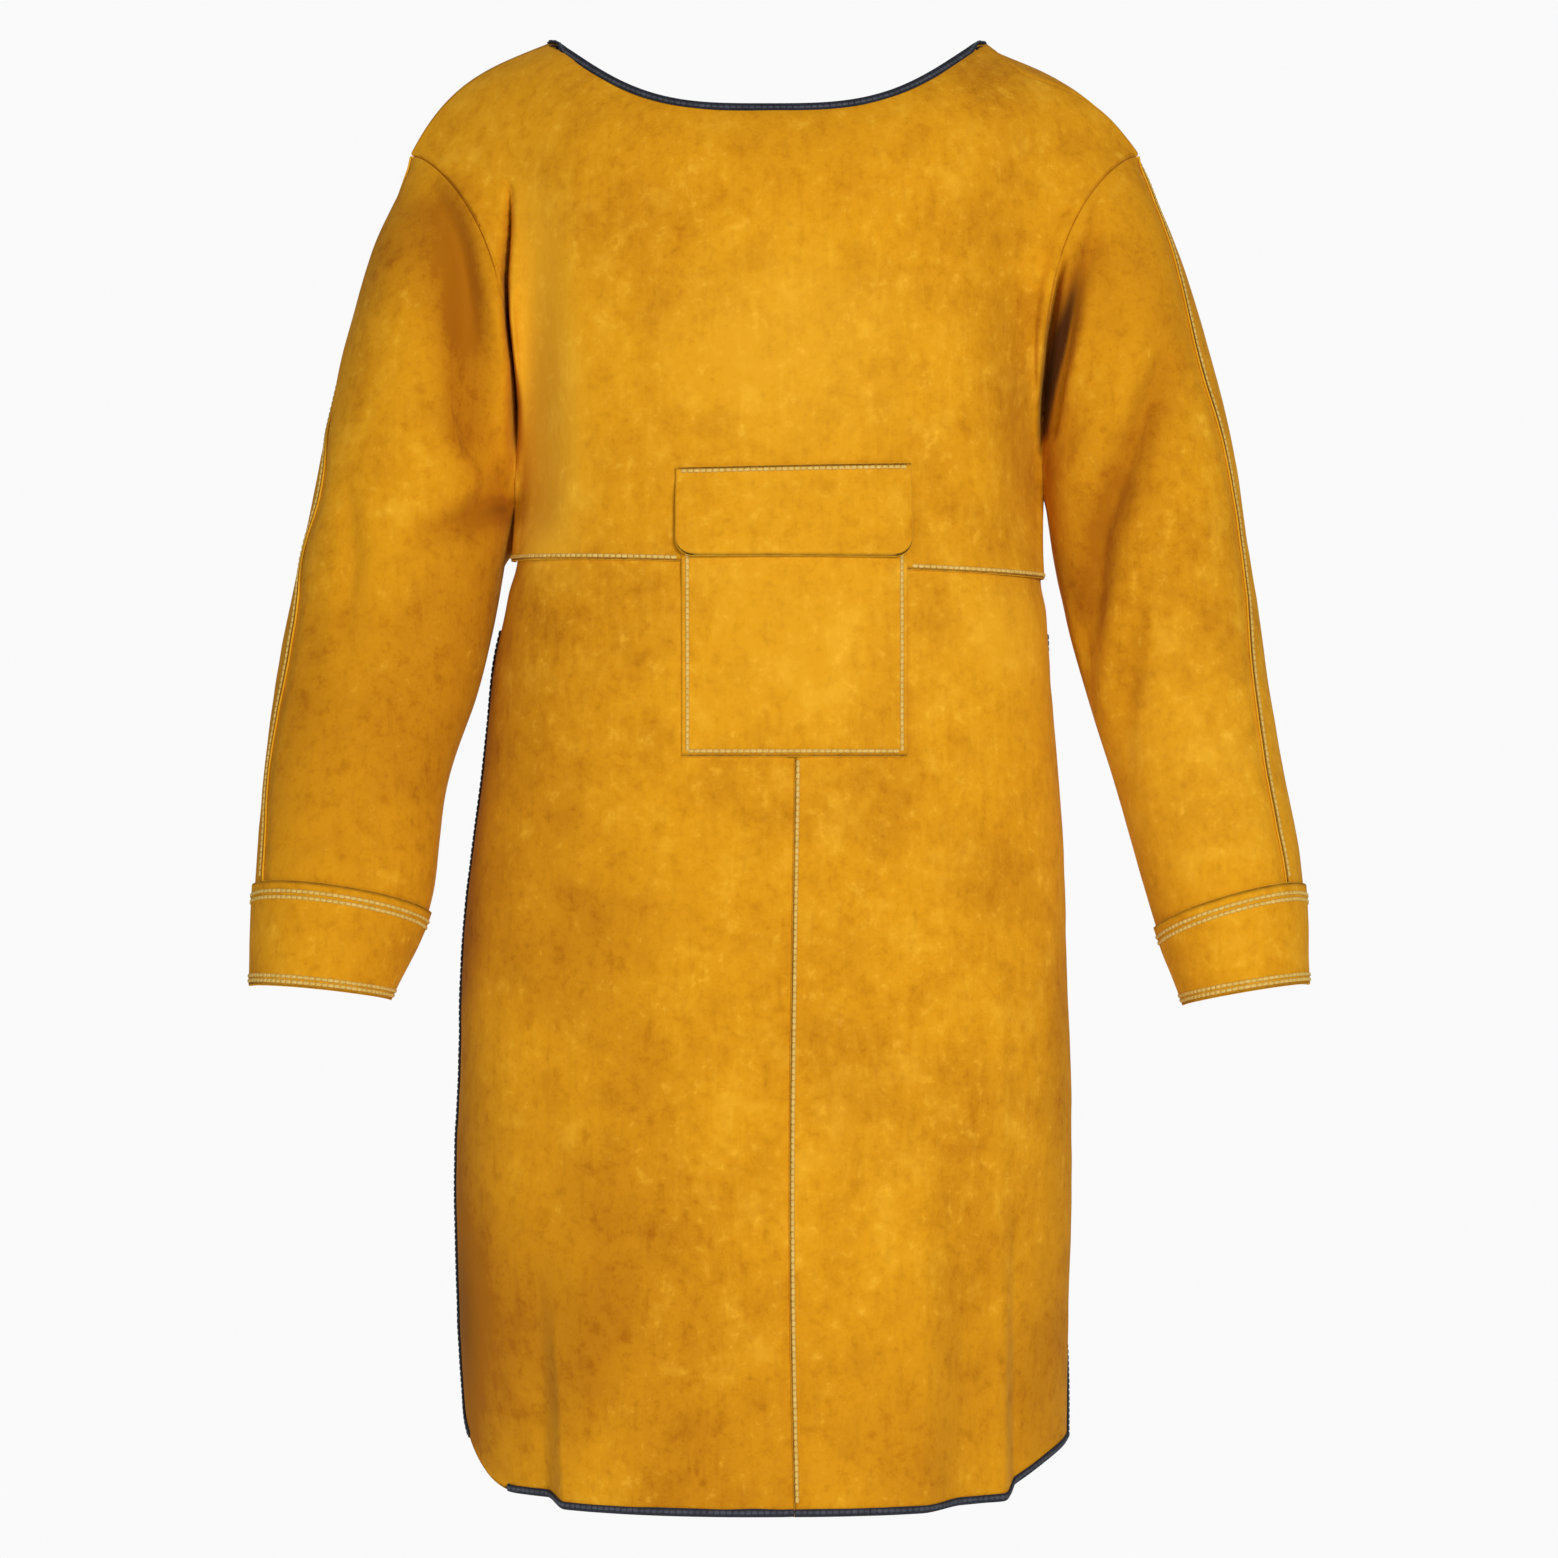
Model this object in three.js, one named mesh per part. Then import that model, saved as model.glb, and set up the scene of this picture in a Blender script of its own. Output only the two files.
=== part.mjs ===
// Leather welding apron with sleeves: suede panels in lapped seams, black tape on the free edges.
// Millimetres, +Z up, the front faces -Y. The origin is on the shoulder line, in the middle of the neck.
// Left and right are the wearer's, so the left sleeve is at +X.
import * as THREE from 'three';

// Driving sizes
const LEATHER = 2;
const GAP = 0.6;
const TAPE = 0.9;
const TAPE_CLEARANCE = 0.7;
const TAPE_DEPTH = 8;
const NECK_TAPE_DEPTH = 5;
const NECK_TAPE_CLEARANCE = 1.6;
const LAYER = LEATHER + GAP;
const SEAM_TRIM = 1.2;
const ARMHOLE_TRIM = 2.8;
const LAP = 12;

// Neck and shoulders
const NECK_X = { right: -161, left: 147 };
const NECK_ANGLE = { front: 1.1, back: 0.98 };
const NECK_SQUARENESS = 3.3;
const SHOULDER_DROP = 82;
const SHOULDER_BEND = 4;
const SHOULDER_ROUND = 120;
const RIDGE_ANGLE = 0.5;
const SHOULDER_SEAM_ANGLE = 0.3;
const SHOULDER_SEAM_START = 0.3;
const SHOULDER_SEAM_FADE = 0.8;
const CHEST_DEPTH = { front: 106, back: 78 };
const CHEST_SQUARENESS = 2.7;

// Armholes
const ARMHOLE_BULGE = 38;
const ARMHOLE_DEPTH = 62;
const ARMHOLE_PEAK = 0.66;
const ARMHOLE_FADE = 0.13;
const ARMHOLE_EDGE = 0.13;

// Waist, hem and back
const WAIST_Z = { right: -377, left: -390 };
const HEM_Z = -1047;
const HEM_CORNER = { right: { width: 34, height: 46 }, left: { width: 48, height: 26 } };
const YOKE_BOTTOM_Z = -300;
const CENTRE_SEAM = 0.5415;
const CENTRE_LAP = 0.03;
const TAPE_TOP_Z = -425;

// Pocket and flap
const POCKET = { left: 91, right: -66, top: -332, bottom: -518 };
const FLAP = { left: 94, right: -70, top: -316, bottom: -378, corner: 16 };

// Mesh fineness
const SHOULDER_ROWS = 7;
const ARMHOLE_ROWS = 13;
const SIDE_ROWS = 2;
const SKIRT_ROWS = 14;
const SLEEVE_ROWS = 15;
const CUFF_ROWS = 3;
const SLEEVE_ROW_EASE = 1.15;
const NECK_EASE = 1.3;
const EDGE_COLUMNS = [0, 0.025, 0.06, 0.1, 0.15];
const NECK_COLUMNS = { right: 8, left: 6 };
const POCKET_CELLS = 8;
const FLAP_CELLS = { rows: 4, columns: 10 };

function table(names, rows) {
  const keys = names.split(' ');
  return rows.map((row) => Object.fromEntries(keys.map((key, k) => [key, row[k]])));
}

// The front from the underarms to the hem: side edges, depth of the front, where the edges stand, roundness
const BODY = table('z right left depth edge squareness', [
  [-335, -190, 193, 108, 0, 2.7],
  [-378, -191, 191, 110, 3, 2.7],
  [-447, -203, 196, 112, 6, 2.6],
  [-534, -212, 203, 114, 9, 2.5],
  [-639, -224, 210, 117, 12, 2.4],
  [-813, -233, 214, 121, 12, 2.2],
  [-935, -230, 213, 124, 9, 2.05],
  [-1047, -222, 211, 126, 4, 2],
]);

// Folds that grow towards the hem: past x the sheet swings back
const HEM_FOLDS = table('x towards back width top', [
  [-158, -1, 50, 16, -800],
  [114, 1, 28, 34, -700],
  [165, 1, 40, 14, -760],
]);

// Sleeve rings from the shoulder to the wrist: outer edge, inner edge, half depth, middle, how much
// higher the front of the ring is than its edges, and how far the outer seam is turned to the front
const SLEEVE_COLUMNS = 'along outerX outerZ innerX innerZ depth middle rise seam';
const RIGHT_SLEEVE = table(SLEEVE_COLUMNS, [
  [0, -265, -82, -190, -335, 62, 0, 0, 0],
  [0.12, -293, -151, -193, -347, 72, 0, 0, -0.25],
  [0.24, -312, -221, -196, -364, 70, -2, 0, -0.2],
  [0.36, -326, -291, -199, -388, 67, -6, 0, 0.12],
  [0.5, -343, -378, -206, -428, 63, -12, 2, 0.5],
  [0.62, -357, -450, -217, -474, 61, -20, 5, 0.6],
  [0.75, -367, -534, -238, -540, 59, -32, 8, 0.62],
  [0.88, -372, -612, -250, -629, 56, -46, 12, 0.5],
  [1, -374, -681, -277, -690, 50, -58, 5, 0.5],
]);
const LEFT_SLEEVE = table(SLEEVE_COLUMNS, [
  [0, 262, -82, 193, -328, 62, 0, 0, 0],
  [0.12, 289, -151, 196, -338, 72, 0, 0, 0.4],
  [0.24, 311, -221, 198, -350, 70, -2, 0, 0.6],
  [0.36, 327, -291, 201, -370, 67, -6, 0, 0.5],
  [0.5, 341, -378, 207, -402, 63, -12, 2, 0.5],
  [0.62, 352, -450, 217, -448, 61, -20, 5, 0.65],
  [0.75, 363, -534, 243, -536, 59, -32, 8, 0.75],
  [0.88, 375, -612, 272, -640, 56, -46, 12, 0.8],
  [1, 376, -680, 291, -694, 50, -58, 5, 0.8],
]);
const CUFF_TOP = 0.88;
const SLEEVE_END = 0.91;

// Creases in the front of the sleeves, as valleys between two points of the front view
const SLEEVE_CREASES = table('startX startZ endX endZ deep wide', [
  [272, -259, 233, -345, 7, 15],
  [233, -345, 225, -447, 8, 14],
  [262, -396, 249, -478, 5, 12],
  [-262, -300, -222, -400, 5, 18],
  [-322, -420, -252, -470, 4, 16],
]);

const lerp = THREE.MathUtils.lerp;
const clamp = THREE.MathUtils.clamp;
const smoothstep = THREE.MathUtils.smoothstep;
const range = (count) => Array.from({ length: count }, (_, k) => k);
const point = (x, y, z) => new THREE.Vector3(x, y, z);

// Value of a named column at a place along the table's first column, on a smooth curve through the rows
function look(rows, by, key, at) {
  const rising = rows[0][by] < rows[rows.length - 1][by];
  const list = rising ? rows : [...rows].reverse();
  const place = clamp(at, list[0][by], list[list.length - 1][by]);
  const k = Math.min(Math.max(list.findIndex((row) => row[by] >= place) - 1, 0), list.length - 2);
  const slope = (n) => {
    const before = list[Math.max(n - 1, 0)];
    const after = list[Math.min(n + 1, list.length - 1)];
    return (after[key] - before[key]) / (after[by] - before[by]);
  };
  const span = list[k + 1][by] - list[k][by];
  const t = (place - list[k][by]) / span;
  const start = list[k][key] * (1 + 2 * t) * (1 - t) ** 2 + slope(k) * span * t * (1 - t) ** 2;
  const end = list[k + 1][key] * t * t * (3 - 2 * t) + slope(k + 1) * span * t * t * (t - 1);
  return start + end;
}

// Sections across the body run from s = 0 at the wearer's right edge to s = 1 at the left edge
const TIP_X = { right: RIGHT_SLEEVE[0].outerX, left: LEFT_SLEEVE[0].outerX };
const NECK_S = {
  right: (NECK_X.right - TIP_X.right) / (TIP_X.left - TIP_X.right),
  left: (NECK_X.left - TIP_X.right) / (TIP_X.left - TIP_X.right),
};
const spread = (neck, middle, steps) => range(steps).map((k) => lerp(neck, middle, (k / steps) ** NECK_EASE));
const COLUMNS = [
  ...EDGE_COLUMNS,
  ...spread(NECK_S.right, CENTRE_SEAM - CENTRE_LAP, NECK_COLUMNS.right),
  CENTRE_SEAM - CENTRE_LAP,
  CENTRE_SEAM,
  CENTRE_SEAM + CENTRE_LAP,
  ...spread(NECK_S.left, CENTRE_SEAM + CENTRE_LAP, NECK_COLUMNS.left).reverse(),
  ...EDGE_COLUMNS.map((s) => 1 - s).reverse(),
];
const roundness = (s, squareness) => (1 - Math.abs(2 * s - 1) ** squareness) ** (1 / squareness);
const waistZ = (s) => lerp(WAIST_Z.right, WAIST_Z.left, s);

function hemSwing(x, z) {
  return HEM_FOLDS.reduce((sum, fold) => {
    const across = smoothstep((x - fold.x) * fold.towards, -fold.width / 2, fold.width / 2);
    return sum + fold.back * across * smoothstep(fold.top - z, 0, fold.top - HEM_Z);
  }, 0);
}

// A point of the front below the underarms
function frontPoint(s, z) {
  const x = lerp(look(BODY, 'z', 'right', z), look(BODY, 'z', 'left', z), s);
  const edge = look(BODY, 'z', 'edge', z);
  const depth = look(BODY, 'z', 'depth', z) + edge;
  const y = edge - depth * roundness(s, look(BODY, 'z', 'squareness', z)) + hemSwing(x, z);
  return point(x, y, z);
}

function frontPointAt(x, z) {
  const right = look(BODY, 'z', 'right', z);
  const s = (x - right) / (look(BODY, 'z', 'left', z) - right);
  return frontPoint(s, z);
}

// A point of a sleeve: angle 0 is the outer edge, PI the inner edge, positive angles are the front
function sleevePoint(sleeve, along, angle) {
  const at = (key) => look(sleeve, 'along', key, along);
  const turn = Math.abs(angle);
  const facing = angle < 0 ? 1 : -1;
  const rise = angle < 0 ? 0 : at('rise');
  const across = (1 - Math.cos(turn)) / 2;
  const fade = Math.max(1 - along / ARMHOLE_FADE, 0) ** 2;
  const peak = Math.sin(Math.PI * across ** ARMHOLE_PEAK);
  const towardsBody = -Math.sign(sleeve[0].outerX) * ARMHOLE_BULGE * peak * fade;
  const deep = lerp(at('depth') * Math.sin(turn), ARMHOLE_DEPTH * peak, fade);
  return point(
    lerp(at('outerX'), at('innerX'), across) + towardsBody,
    at('middle') + facing * deep,
    lerp(at('outerZ'), at('innerZ'), across) + rise * Math.sin(turn),
  );
}

function shoulderReach(s) {
  const outside = s < NECK_S.right ? 1 - s / NECK_S.right : (s - NECK_S.left) / (1 - NECK_S.left);
  return clamp(outside, 0, 1);
}

const ridgeZ = (s) => (-SHOULDER_DROP / 2) * (shoulderReach(s) + shoulderReach(s) ** SHOULDER_BEND);

// Bend from the shoulder ridge where a panel starts, at the neckline or at the shoulder seam.
// Bends towards the front are positive.
function startBend(s, facing) {
  if (s > NECK_S.right && s < NECK_S.left) {
    const middle = (NECK_S.right + NECK_S.left) / 2;
    const lowest = (facing < 0 ? NECK_ANGLE.front : NECK_ANGLE.back) - RIDGE_ANGLE;
    return -facing * lowest * (1 - Math.abs((s - middle) / (NECK_S.left - middle)) ** NECK_SQUARENESS);
  }
  if (s < NECK_S.right) return 0;
  const reach = shoulderReach(s);
  return SHOULDER_SEAM_ANGLE * smoothstep(reach, 0, SHOULDER_SEAM_START) * (1 - SHOULDER_SEAM_FADE * reach);
}

// Bend of a row of the chest (facing -1) or of the back (facing 1); a back panel that starts in front
// of the ridge has its second row on the ridge
function rowBend(s, row, facing) {
  const start = startBend(s, facing);
  const end = -facing * (Math.PI / 2 - RIDGE_ANGLE);
  if (facing < 0 || start <= 0) return lerp(start, end, Math.min(row / SHOULDER_ROWS, 1));
  return row < 1 ? lerp(start, 0, row) : lerp(0, end, Math.min((row - 1) / (SHOULDER_ROWS - 1), 1));
}

function upperHeight(s, row, facing, bottomZ) {
  const angle = RIDGE_ANGLE + Math.abs(rowBend(s, row, facing));
  const fall = SHOULDER_ROUND * (1 - Math.cos(angle) / Math.cos(RIDGE_ANGLE));
  const below = clamp((row - SHOULDER_ROWS) / (ARMHOLE_ROWS - SHOULDER_ROWS), 0, 1);
  return lerp(ridgeZ(s) - fall, bottomZ, below);
}

// A point of the chest or of the back, by rows from the ridge to the underarms
function upperPoint(s, row, facing, bottomZ) {
  const bend = rowBend(s, row, facing);
  const depth = bend < 0 ? CHEST_DEPTH.back : -CHEST_DEPTH.front;
  const rise = Math.sin(RIDGE_ANGLE + Math.abs(bend)) - Math.sin(RIDGE_ANGLE);
  const y = (depth * rise * roundness(s, CHEST_SQUARENESS)) / (1 - Math.sin(RIDGE_ANGLE));
  const turn = -facing * Math.PI * (Math.min(row, ARMHOLE_ROWS) / ARMHOLE_ROWS);
  const right = sleevePoint(RIGHT_SLEEVE, 0, turn);
  const left = sleevePoint(LEFT_SLEEVE, 0, turn);
  const edge = Math.max(1 - Math.min(s, 1 - s) / ARMHOLE_EDGE, 0) ** 2;
  const side = s < 0.5 ? right : left;
  const sag = side.z - upperHeight(Math.round(s), row, facing, bottomZ);
  const z = upperHeight(s, row, facing, bottomZ) + sag * edge;
  return point(lerp(right.x, left.x, s), lerp(y, side.y, edge), z);
}

function creaseDepth(p) {
  return SLEEVE_CREASES.reduce((sum, crease) => {
    const run = new THREE.Line3(
      point(crease.startX, 0, crease.startZ),
      point(crease.endX, 0, crease.endZ),
    );
    const flat = point(p.x, 0, p.z);
    const away = run.closestPointToPoint(flat, true, point(0, 0, 0)).distanceTo(flat);
    return sum + crease.deep * Math.exp(-((away / crease.wide) ** 2));
  }, 0);
}

// Normals of a grid, each the mean of the cells round it; rows run down and columns run to +X on the front
function gridNormals(grid, closed = false) {
  const columns = grid[0].length;
  const cellNormal = (i, j) => {
    const next = (j + 1) % columns;
    const across = grid[i + 1][next].clone().sub(grid[i][j]);
    return across.cross(grid[i][next].clone().sub(grid[i + 1][j])).normalize();
  };
  return grid.map((row, i) => row.map((_, j) => {
    const normal = point(0, 0, 0);
    [i - 1, i].filter((m) => m >= 0 && m < grid.length - 1).forEach((m) => {
      const cells = closed ? [(j + columns - 1) % columns, j] : [j - 1, j];
      cells.filter((n) => closed || (n >= 0 && n < columns - 1)).forEach((n) => normal.add(cellNormal(m, n)));
    });
    return normal.normalize();
  }));
}

function lift(grid, distance, closed = false) {
  const normals = gridNormals(grid, closed);
  return grid.map((row, i) => row.map((p, j) => p.clone().addScaledVector(normals[i][j], distance(i, j, p))));
}

// Draws the border of a grid in, so that the piece keeps clear of its neighbours
function trim(grid, { top = 0, bottom = 0, start = 0, end = 0 }) {
  const pull = (from, to, distance) => from.clone().add(to.clone().sub(from).setLength(distance));
  const last = grid.length - 1;
  const rows = grid.map((row, i) => row.map((p, j) => {
    if (i === 0 && top) return pull(p, grid[1][j], top);
    if (i === last && bottom) return pull(p, grid[last - 1][j], bottom);
    return p;
  }));
  return rows.map((row) => row.map((p, j) => {
    if (j === 0 && start) return pull(p, row[1], start);
    if (j === row.length - 1 && end) return pull(p, row[j - 1], end);
    return p;
  }));
}

function closedGeometry(points, triangles) {
  const volume = triangles.reduce((sum, [a, b, c]) => (
    sum + points[a].dot(points[b].clone().cross(points[c]))
  ), 0);
  const index = volume > 0 ? triangles.flat() : triangles.flatMap(([a, b, c]) => [a, c, b]);
  const geometry = new THREE.BufferGeometry();
  geometry.setAttribute('position', new THREE.Float32BufferAttribute(points.flatMap((p) => p.toArray()), 3));
  geometry.setIndex(index);
  geometry.computeVertexNormals();
  return geometry;
}

// A wall of leather on both sides of a grid; a closed grid is a ring
function wall(grid, closed = false) {
  const rows = grid.length;
  const columns = grid[0].length;
  const outer = lift(grid, () => LEATHER / 2, closed).flat();
  const inner = lift(grid, () => -LEATHER / 2, closed).flat();
  const count = outer.length;
  const at = (i, j) => i * columns + (j % columns);
  const triangles = [];
  const face = (a, b, c, d) => triangles.push([a, b, c], [a, c, d]);
  const steps = closed ? columns : columns - 1;
  for (let j = 0; j < steps; j += 1) {
    for (let i = 0; i < rows - 1; i += 1) {
      const cell = [at(i, j), at(i + 1, j), at(i + 1, j + 1), at(i, j + 1)];
      const [p, q, r, t] = cell.map((k) => outer[k]);
      const [a, b, c, d] = p.distanceTo(r) < q.distanceTo(t) ? cell : [...cell.slice(1), cell[0]];
      face(a, b, c, d);
      face(count + c, count + b, count + a, count + d);
    }
    face(at(0, j), at(0, j + 1), count + at(0, j + 1), count + at(0, j));
    const end = rows - 1;
    face(at(end, j + 1), at(end, j), count + at(end, j), count + at(end, j + 1));
  }
  for (let i = 0; i < rows - 1 && !closed; i += 1) {
    face(at(i + 1, 0), at(i, 0), count + at(i, 0), count + at(i + 1, 0));
    const end = columns - 1;
    face(at(i, end), at(i + 1, end), count + at(i + 1, end), count + at(i, end));
  }
  return closedGeometry([...outer, ...inner], triangles);
}

// Tape folded over an edge, given stations with a point, the normal of the leather and the way into it
function tape(stations, { closed = false, depth = TAPE_DEPTH, clearance = TAPE_CLEARANCE } = {}) {
  const inside = LEATHER / 2 + clearance;
  const outside = inside + TAPE;
  const fold = -clearance - TAPE;
  const section = [
    [depth, outside], [fold, outside], [fold, -outside], [depth, -outside],
    [depth, -inside], [-clearance, -inside], [-clearance, inside], [depth, inside],
  ];
  const points = stations.flatMap(({ edge, normal, inward }) => section.map(([into, up]) => (
    edge.clone().addScaledVector(inward, into).addScaledVector(normal, up)
  )));
  const sides = section.length;
  const triangles = [];
  const steps = closed ? stations.length : stations.length - 1;
  for (let k = 0; k < steps; k += 1) {
    const here = k * sides;
    const next = ((k + 1) % stations.length) * sides;
    for (let n = 0; n < sides; n += 1) {
      const m = (n + 1) % sides;
      triangles.push([here + n, next + n, next + m], [here + n, next + m, here + m]);
    }
  }
  if (!closed) {
    const quads = [[0, 1, 6, 7], [1, 2, 5, 6], [2, 3, 4, 5]];
    const end = (stations.length - 1) * sides;
    quads.forEach(([a, b, c, d]) => {
      triangles.push([a, b, c], [a, c, d]);
      triangles.push([end + a, end + c, end + b], [end + a, end + d, end + c]);
    });
  }
  return closedGeometry(points, triangles);
}

// Stations along cells of a grid; inner holds the cells that lie inside of the edge cells
function edgeStations(grid, cells, inner) {
  const normals = gridNormals(grid);
  return cells.map(([i, j], k) => {
    const edge = grid[i][j];
    const normal = normals[i][j];
    const [m, n] = inner[k];
    const inward = grid[m][n].clone().sub(edge);
    inward.addScaledVector(normal, -inward.dot(normal)).normalize();
    return { edge, normal, inward };
  });
}

const suede = new THREE.MeshStandardMaterial({ color: 0xdca01e, roughness: 0.9, metalness: 0 });
const blackTape = new THREE.MeshStandardMaterial({ color: 0x262a34, roughness: 0.7, metalness: 0 });
const apron = new THREE.Group();

function addPiece(name, geometry, material) {
  const piece = new THREE.Mesh(geometry, material);
  piece.name = name;
  apron.add(piece);
}

// Bib: from the neckline and shoulders to the waist seam, where it laps over the skirt
function bibGrid() {
  const upper = range(ARMHOLE_ROWS + 1).map((row) => COLUMNS.map((s) => (
    upperPoint(s, row, -1, BODY[0].z)
  )));
  const lower = range(SIDE_ROWS).map((k) => COLUMNS.map((s) => (
    frontPoint(s, lerp(waistZ(s) + LAP, waistZ(s), k / (SIDE_ROWS - 1)))
  )));
  return [...upper, ...lower];
}

const bib = trim(bibGrid(), { start: ARMHOLE_TRIM, end: ARMHOLE_TRIM, top: SEAM_TRIM });
addPiece('bib', wall(bib), suede);

// Back yoke: across the shoulder blades, from one back armhole to the other
const yokeRows = range(ARMHOLE_ROWS + 1).map((row) => COLUMNS.map((s) => (
  upperPoint(s, row, 1, YOKE_BOTTOM_Z)
)).reverse());
const yoke = trim(yokeRows, { start: ARMHOLE_TRIM, end: ARMHOLE_TRIM, top: SEAM_TRIM });
addPiece('back_yoke', wall(yoke), suede);

// Skirt: two panels; the left one laps over the right one at the centre seam
function hemZ(s) {
  const { right, left } = BODY.at(-1);
  const x = lerp(right, left, s);
  const corner = s < 0.5 ? HEM_CORNER.right : HEM_CORNER.left;
  const reach = s < 0.5 ? x - right : left - x;
  return HEM_Z + corner.height * Math.max(1 - reach / corner.width, 0) ** 2;
}

function skirtZ(s, row, bottom) {
  const top = waistZ(s);
  if (row < 2) return lerp(top + LAP, top, row);
  return row > SKIRT_ROWS ? bottom : lerp(top, bottom + LAP, (row - 1) / (SKIRT_ROWS - 1));
}

function skirtGrid(columns, lapColumns) {
  const clearOfTape = TAPE_DEPTH + LAYER;
  const rows = range(SKIRT_ROWS + 2).map((row) => columns.map((s, j) => {
    const isUnderLap = j >= columns.length - lapColumns;
    return frontPoint(s, skirtZ(s, row, hemZ(s) + (isUnderLap ? clearOfTape : 0)));
  }));
  return lift(rows, (i, j) => {
    const underBib = i < 2 ? LAYER : 0;
    const underLap = j >= columns.length - lapColumns ? LAYER : 0;
    return -underBib - underLap;
  });
}

const seamColumn = COLUMNS.indexOf(CENTRE_SEAM);
const skirtRight = skirtGrid(COLUMNS.slice(0, seamColumn + 2), 2);
const skirtLeft = skirtGrid(COLUMNS.slice(seamColumn), 0);
addPiece('skirt_right', wall(skirtRight), suede);
addPiece('skirt_left', wall(skirtLeft), suede);

// Pocket and flap, one layer and two layers above the front
function patchGrid(outline, rows, columns, height) {
  const grid = range(rows + 1).map((i) => range(columns + 1).map((j) => {
    const x = lerp(outline.right, outline.left, (1 - Math.cos((Math.PI * j) / columns)) / 2);
    const across = Math.min(x - outline.right, outline.left - x);
    const bend = Math.max(1 - across / (outline.corner || 1), 0);
    const bottom = outline.bottom + (outline.corner || 0) * (1 - Math.sqrt(1 - bend ** 2));
    return frontPointAt(x, lerp(outline.top, bottom, i / rows));
  }));
  return lift(grid, height);
}

const pocketHeight = LAYER + GAP;
const pocket = patchGrid(POCKET, POCKET_CELLS, POCKET_CELLS, () => pocketHeight);
addPiece('pocket', wall(pocket), suede);

const flapRise = (i) => pocketHeight + (i === 0 ? LAYER / 2 : LAYER + GAP);
const flap = patchGrid(FLAP, FLAP_CELLS.rows, FLAP_CELLS.columns, flapRise);
addPiece('pocket_flap', wall(flap), suede);

// Sleeves: the back panel laps over the front panel at the outer seam, and the cuff over both
const LAP_ANGLE = Math.PI / ARMHOLE_ROWS;

function frontAngles(seam) {
  return [seam - LAP_ANGLE, ...range(ARMHOLE_ROWS + 1).map((k) => lerp(seam, Math.PI, k / ARMHOLE_ROWS))];
}

function backAngles(seam) {
  const rest = range(ARMHOLE_ROWS).map((k) => lerp(seam - LAP_ANGLE, -Math.PI, k / (ARMHOLE_ROWS - 1)));
  return [seam, ...rest];
}

const sleeveRows = [
  ...range(SLEEVE_ROWS).map((k) => CUFF_TOP * (k / (SLEEVE_ROWS - 1)) ** SLEEVE_ROW_EASE),
  SLEEVE_END,
];
const cuffRows = [
  CUFF_TOP,
  ...range(CUFF_ROWS).map((k) => lerp(SLEEVE_END, 1, k / (CUFF_ROWS - 1))),
];

function sleeveGrid(sleeve, rows, angles) {
  const grid = rows.map((along) => angles(look(sleeve, 'along', 'seam', along)).map((angle) => (
    sleevePoint(sleeve, along, angle)
  )));
  const isRight = sleeve[0].outerX < 0;
  return isRight ? grid : grid.map((row) => row.reverse());
}

function addSleeve(side, sleeve) {
  const isRight = sleeve[0].outerX < 0;
  const edges = isRight ? { end: SEAM_TRIM } : { start: SEAM_TRIM };
  const frontFlat = sleeveGrid(sleeve, sleeveRows, frontAngles);
  const lastColumn = frontFlat[0].length - 1;
  const underLap = (j) => ((isRight ? j : lastColumn - j) < 2 ? LAYER : 0);
  const frontLapped = lift(frontFlat, (i, j, p) => -creaseDepth(p) - underLap(j));
  const front = trim(frontLapped, { top: ARMHOLE_TRIM, ...edges });
  addPiece(`sleeve_front_${side}`, wall(front), suede);

  const backFlat = sleeveGrid(sleeve, sleeveRows, backAngles).map((row) => row.reverse());
  const backEdges = isRight ? { start: SEAM_TRIM } : { end: SEAM_TRIM };
  const back = trim(backFlat, { top: ARMHOLE_TRIM, ...backEdges });
  addPiece(`sleeve_back_${side}`, wall(back), suede);

  const round = (seam) => [...frontAngles(seam).slice(1), ...backAngles(seam).slice(1, -1).reverse()];
  const cuff = lift(sleeveGrid(sleeve, cuffRows, round), () => LAYER + GAP, true);
  addPiece(`cuff_${side}`, wall(cuff, true), suede);
}

addSleeve('right', RIGHT_SLEEVE);
addSleeve('left', LEFT_SLEEVE);

// Neck binding: a closed loop over the front neckline and the back neckline
function neckStations() {
  const last = COLUMNS.length - 1;
  const inNeck = COLUMNS.filter((s) => s > NECK_S.right && s < NECK_S.left);
  const station = (s, facing) => {
    const j = COLUMNS.indexOf(s);
    const [edge, below] = facing < 0 ? [bib[0][j], bib[1][j]] : [yoke[0][last - j], yoke[1][last - j]];
    const normal = below.clone().sub(edge).cross(point(-facing, 0, 0)).normalize();
    return { edge, normal };
  };
  const corner = (s) => {
    const j = COLUMNS.indexOf(s);
    const next = COLUMNS[s < 0.5 ? j - 1 : j + 1];
    const slope = ridgeZ(next) / ((next - s) * (TIP_X.left - TIP_X.right));
    const normal = point(-slope, 0, 1).normalize();
    return { edge: bib[0][j].clone().lerp(yoke[0][last - j], 0.5), normal };
  };
  const front = inNeck.map((s) => station(s, -1));
  const back = inNeck.map((s) => station(s, 1)).reverse();
  const loop = [...front, corner(NECK_S.left), ...back, corner(NECK_S.right)];
  return loop.map(({ edge, normal }, k) => {
    const before = loop[(k + loop.length - 1) % loop.length].edge;
    const after = loop[(k + 1) % loop.length].edge;
    const inward = after.clone().sub(before).cross(normal).normalize();
    return { edge, normal, inward };
  });
}

const neckTape = { closed: true, depth: NECK_TAPE_DEPTH, clearance: NECK_TAPE_CLEARANCE };
addPiece('neck_binding', tape(neckStations(), neckTape), blackTape);

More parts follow.
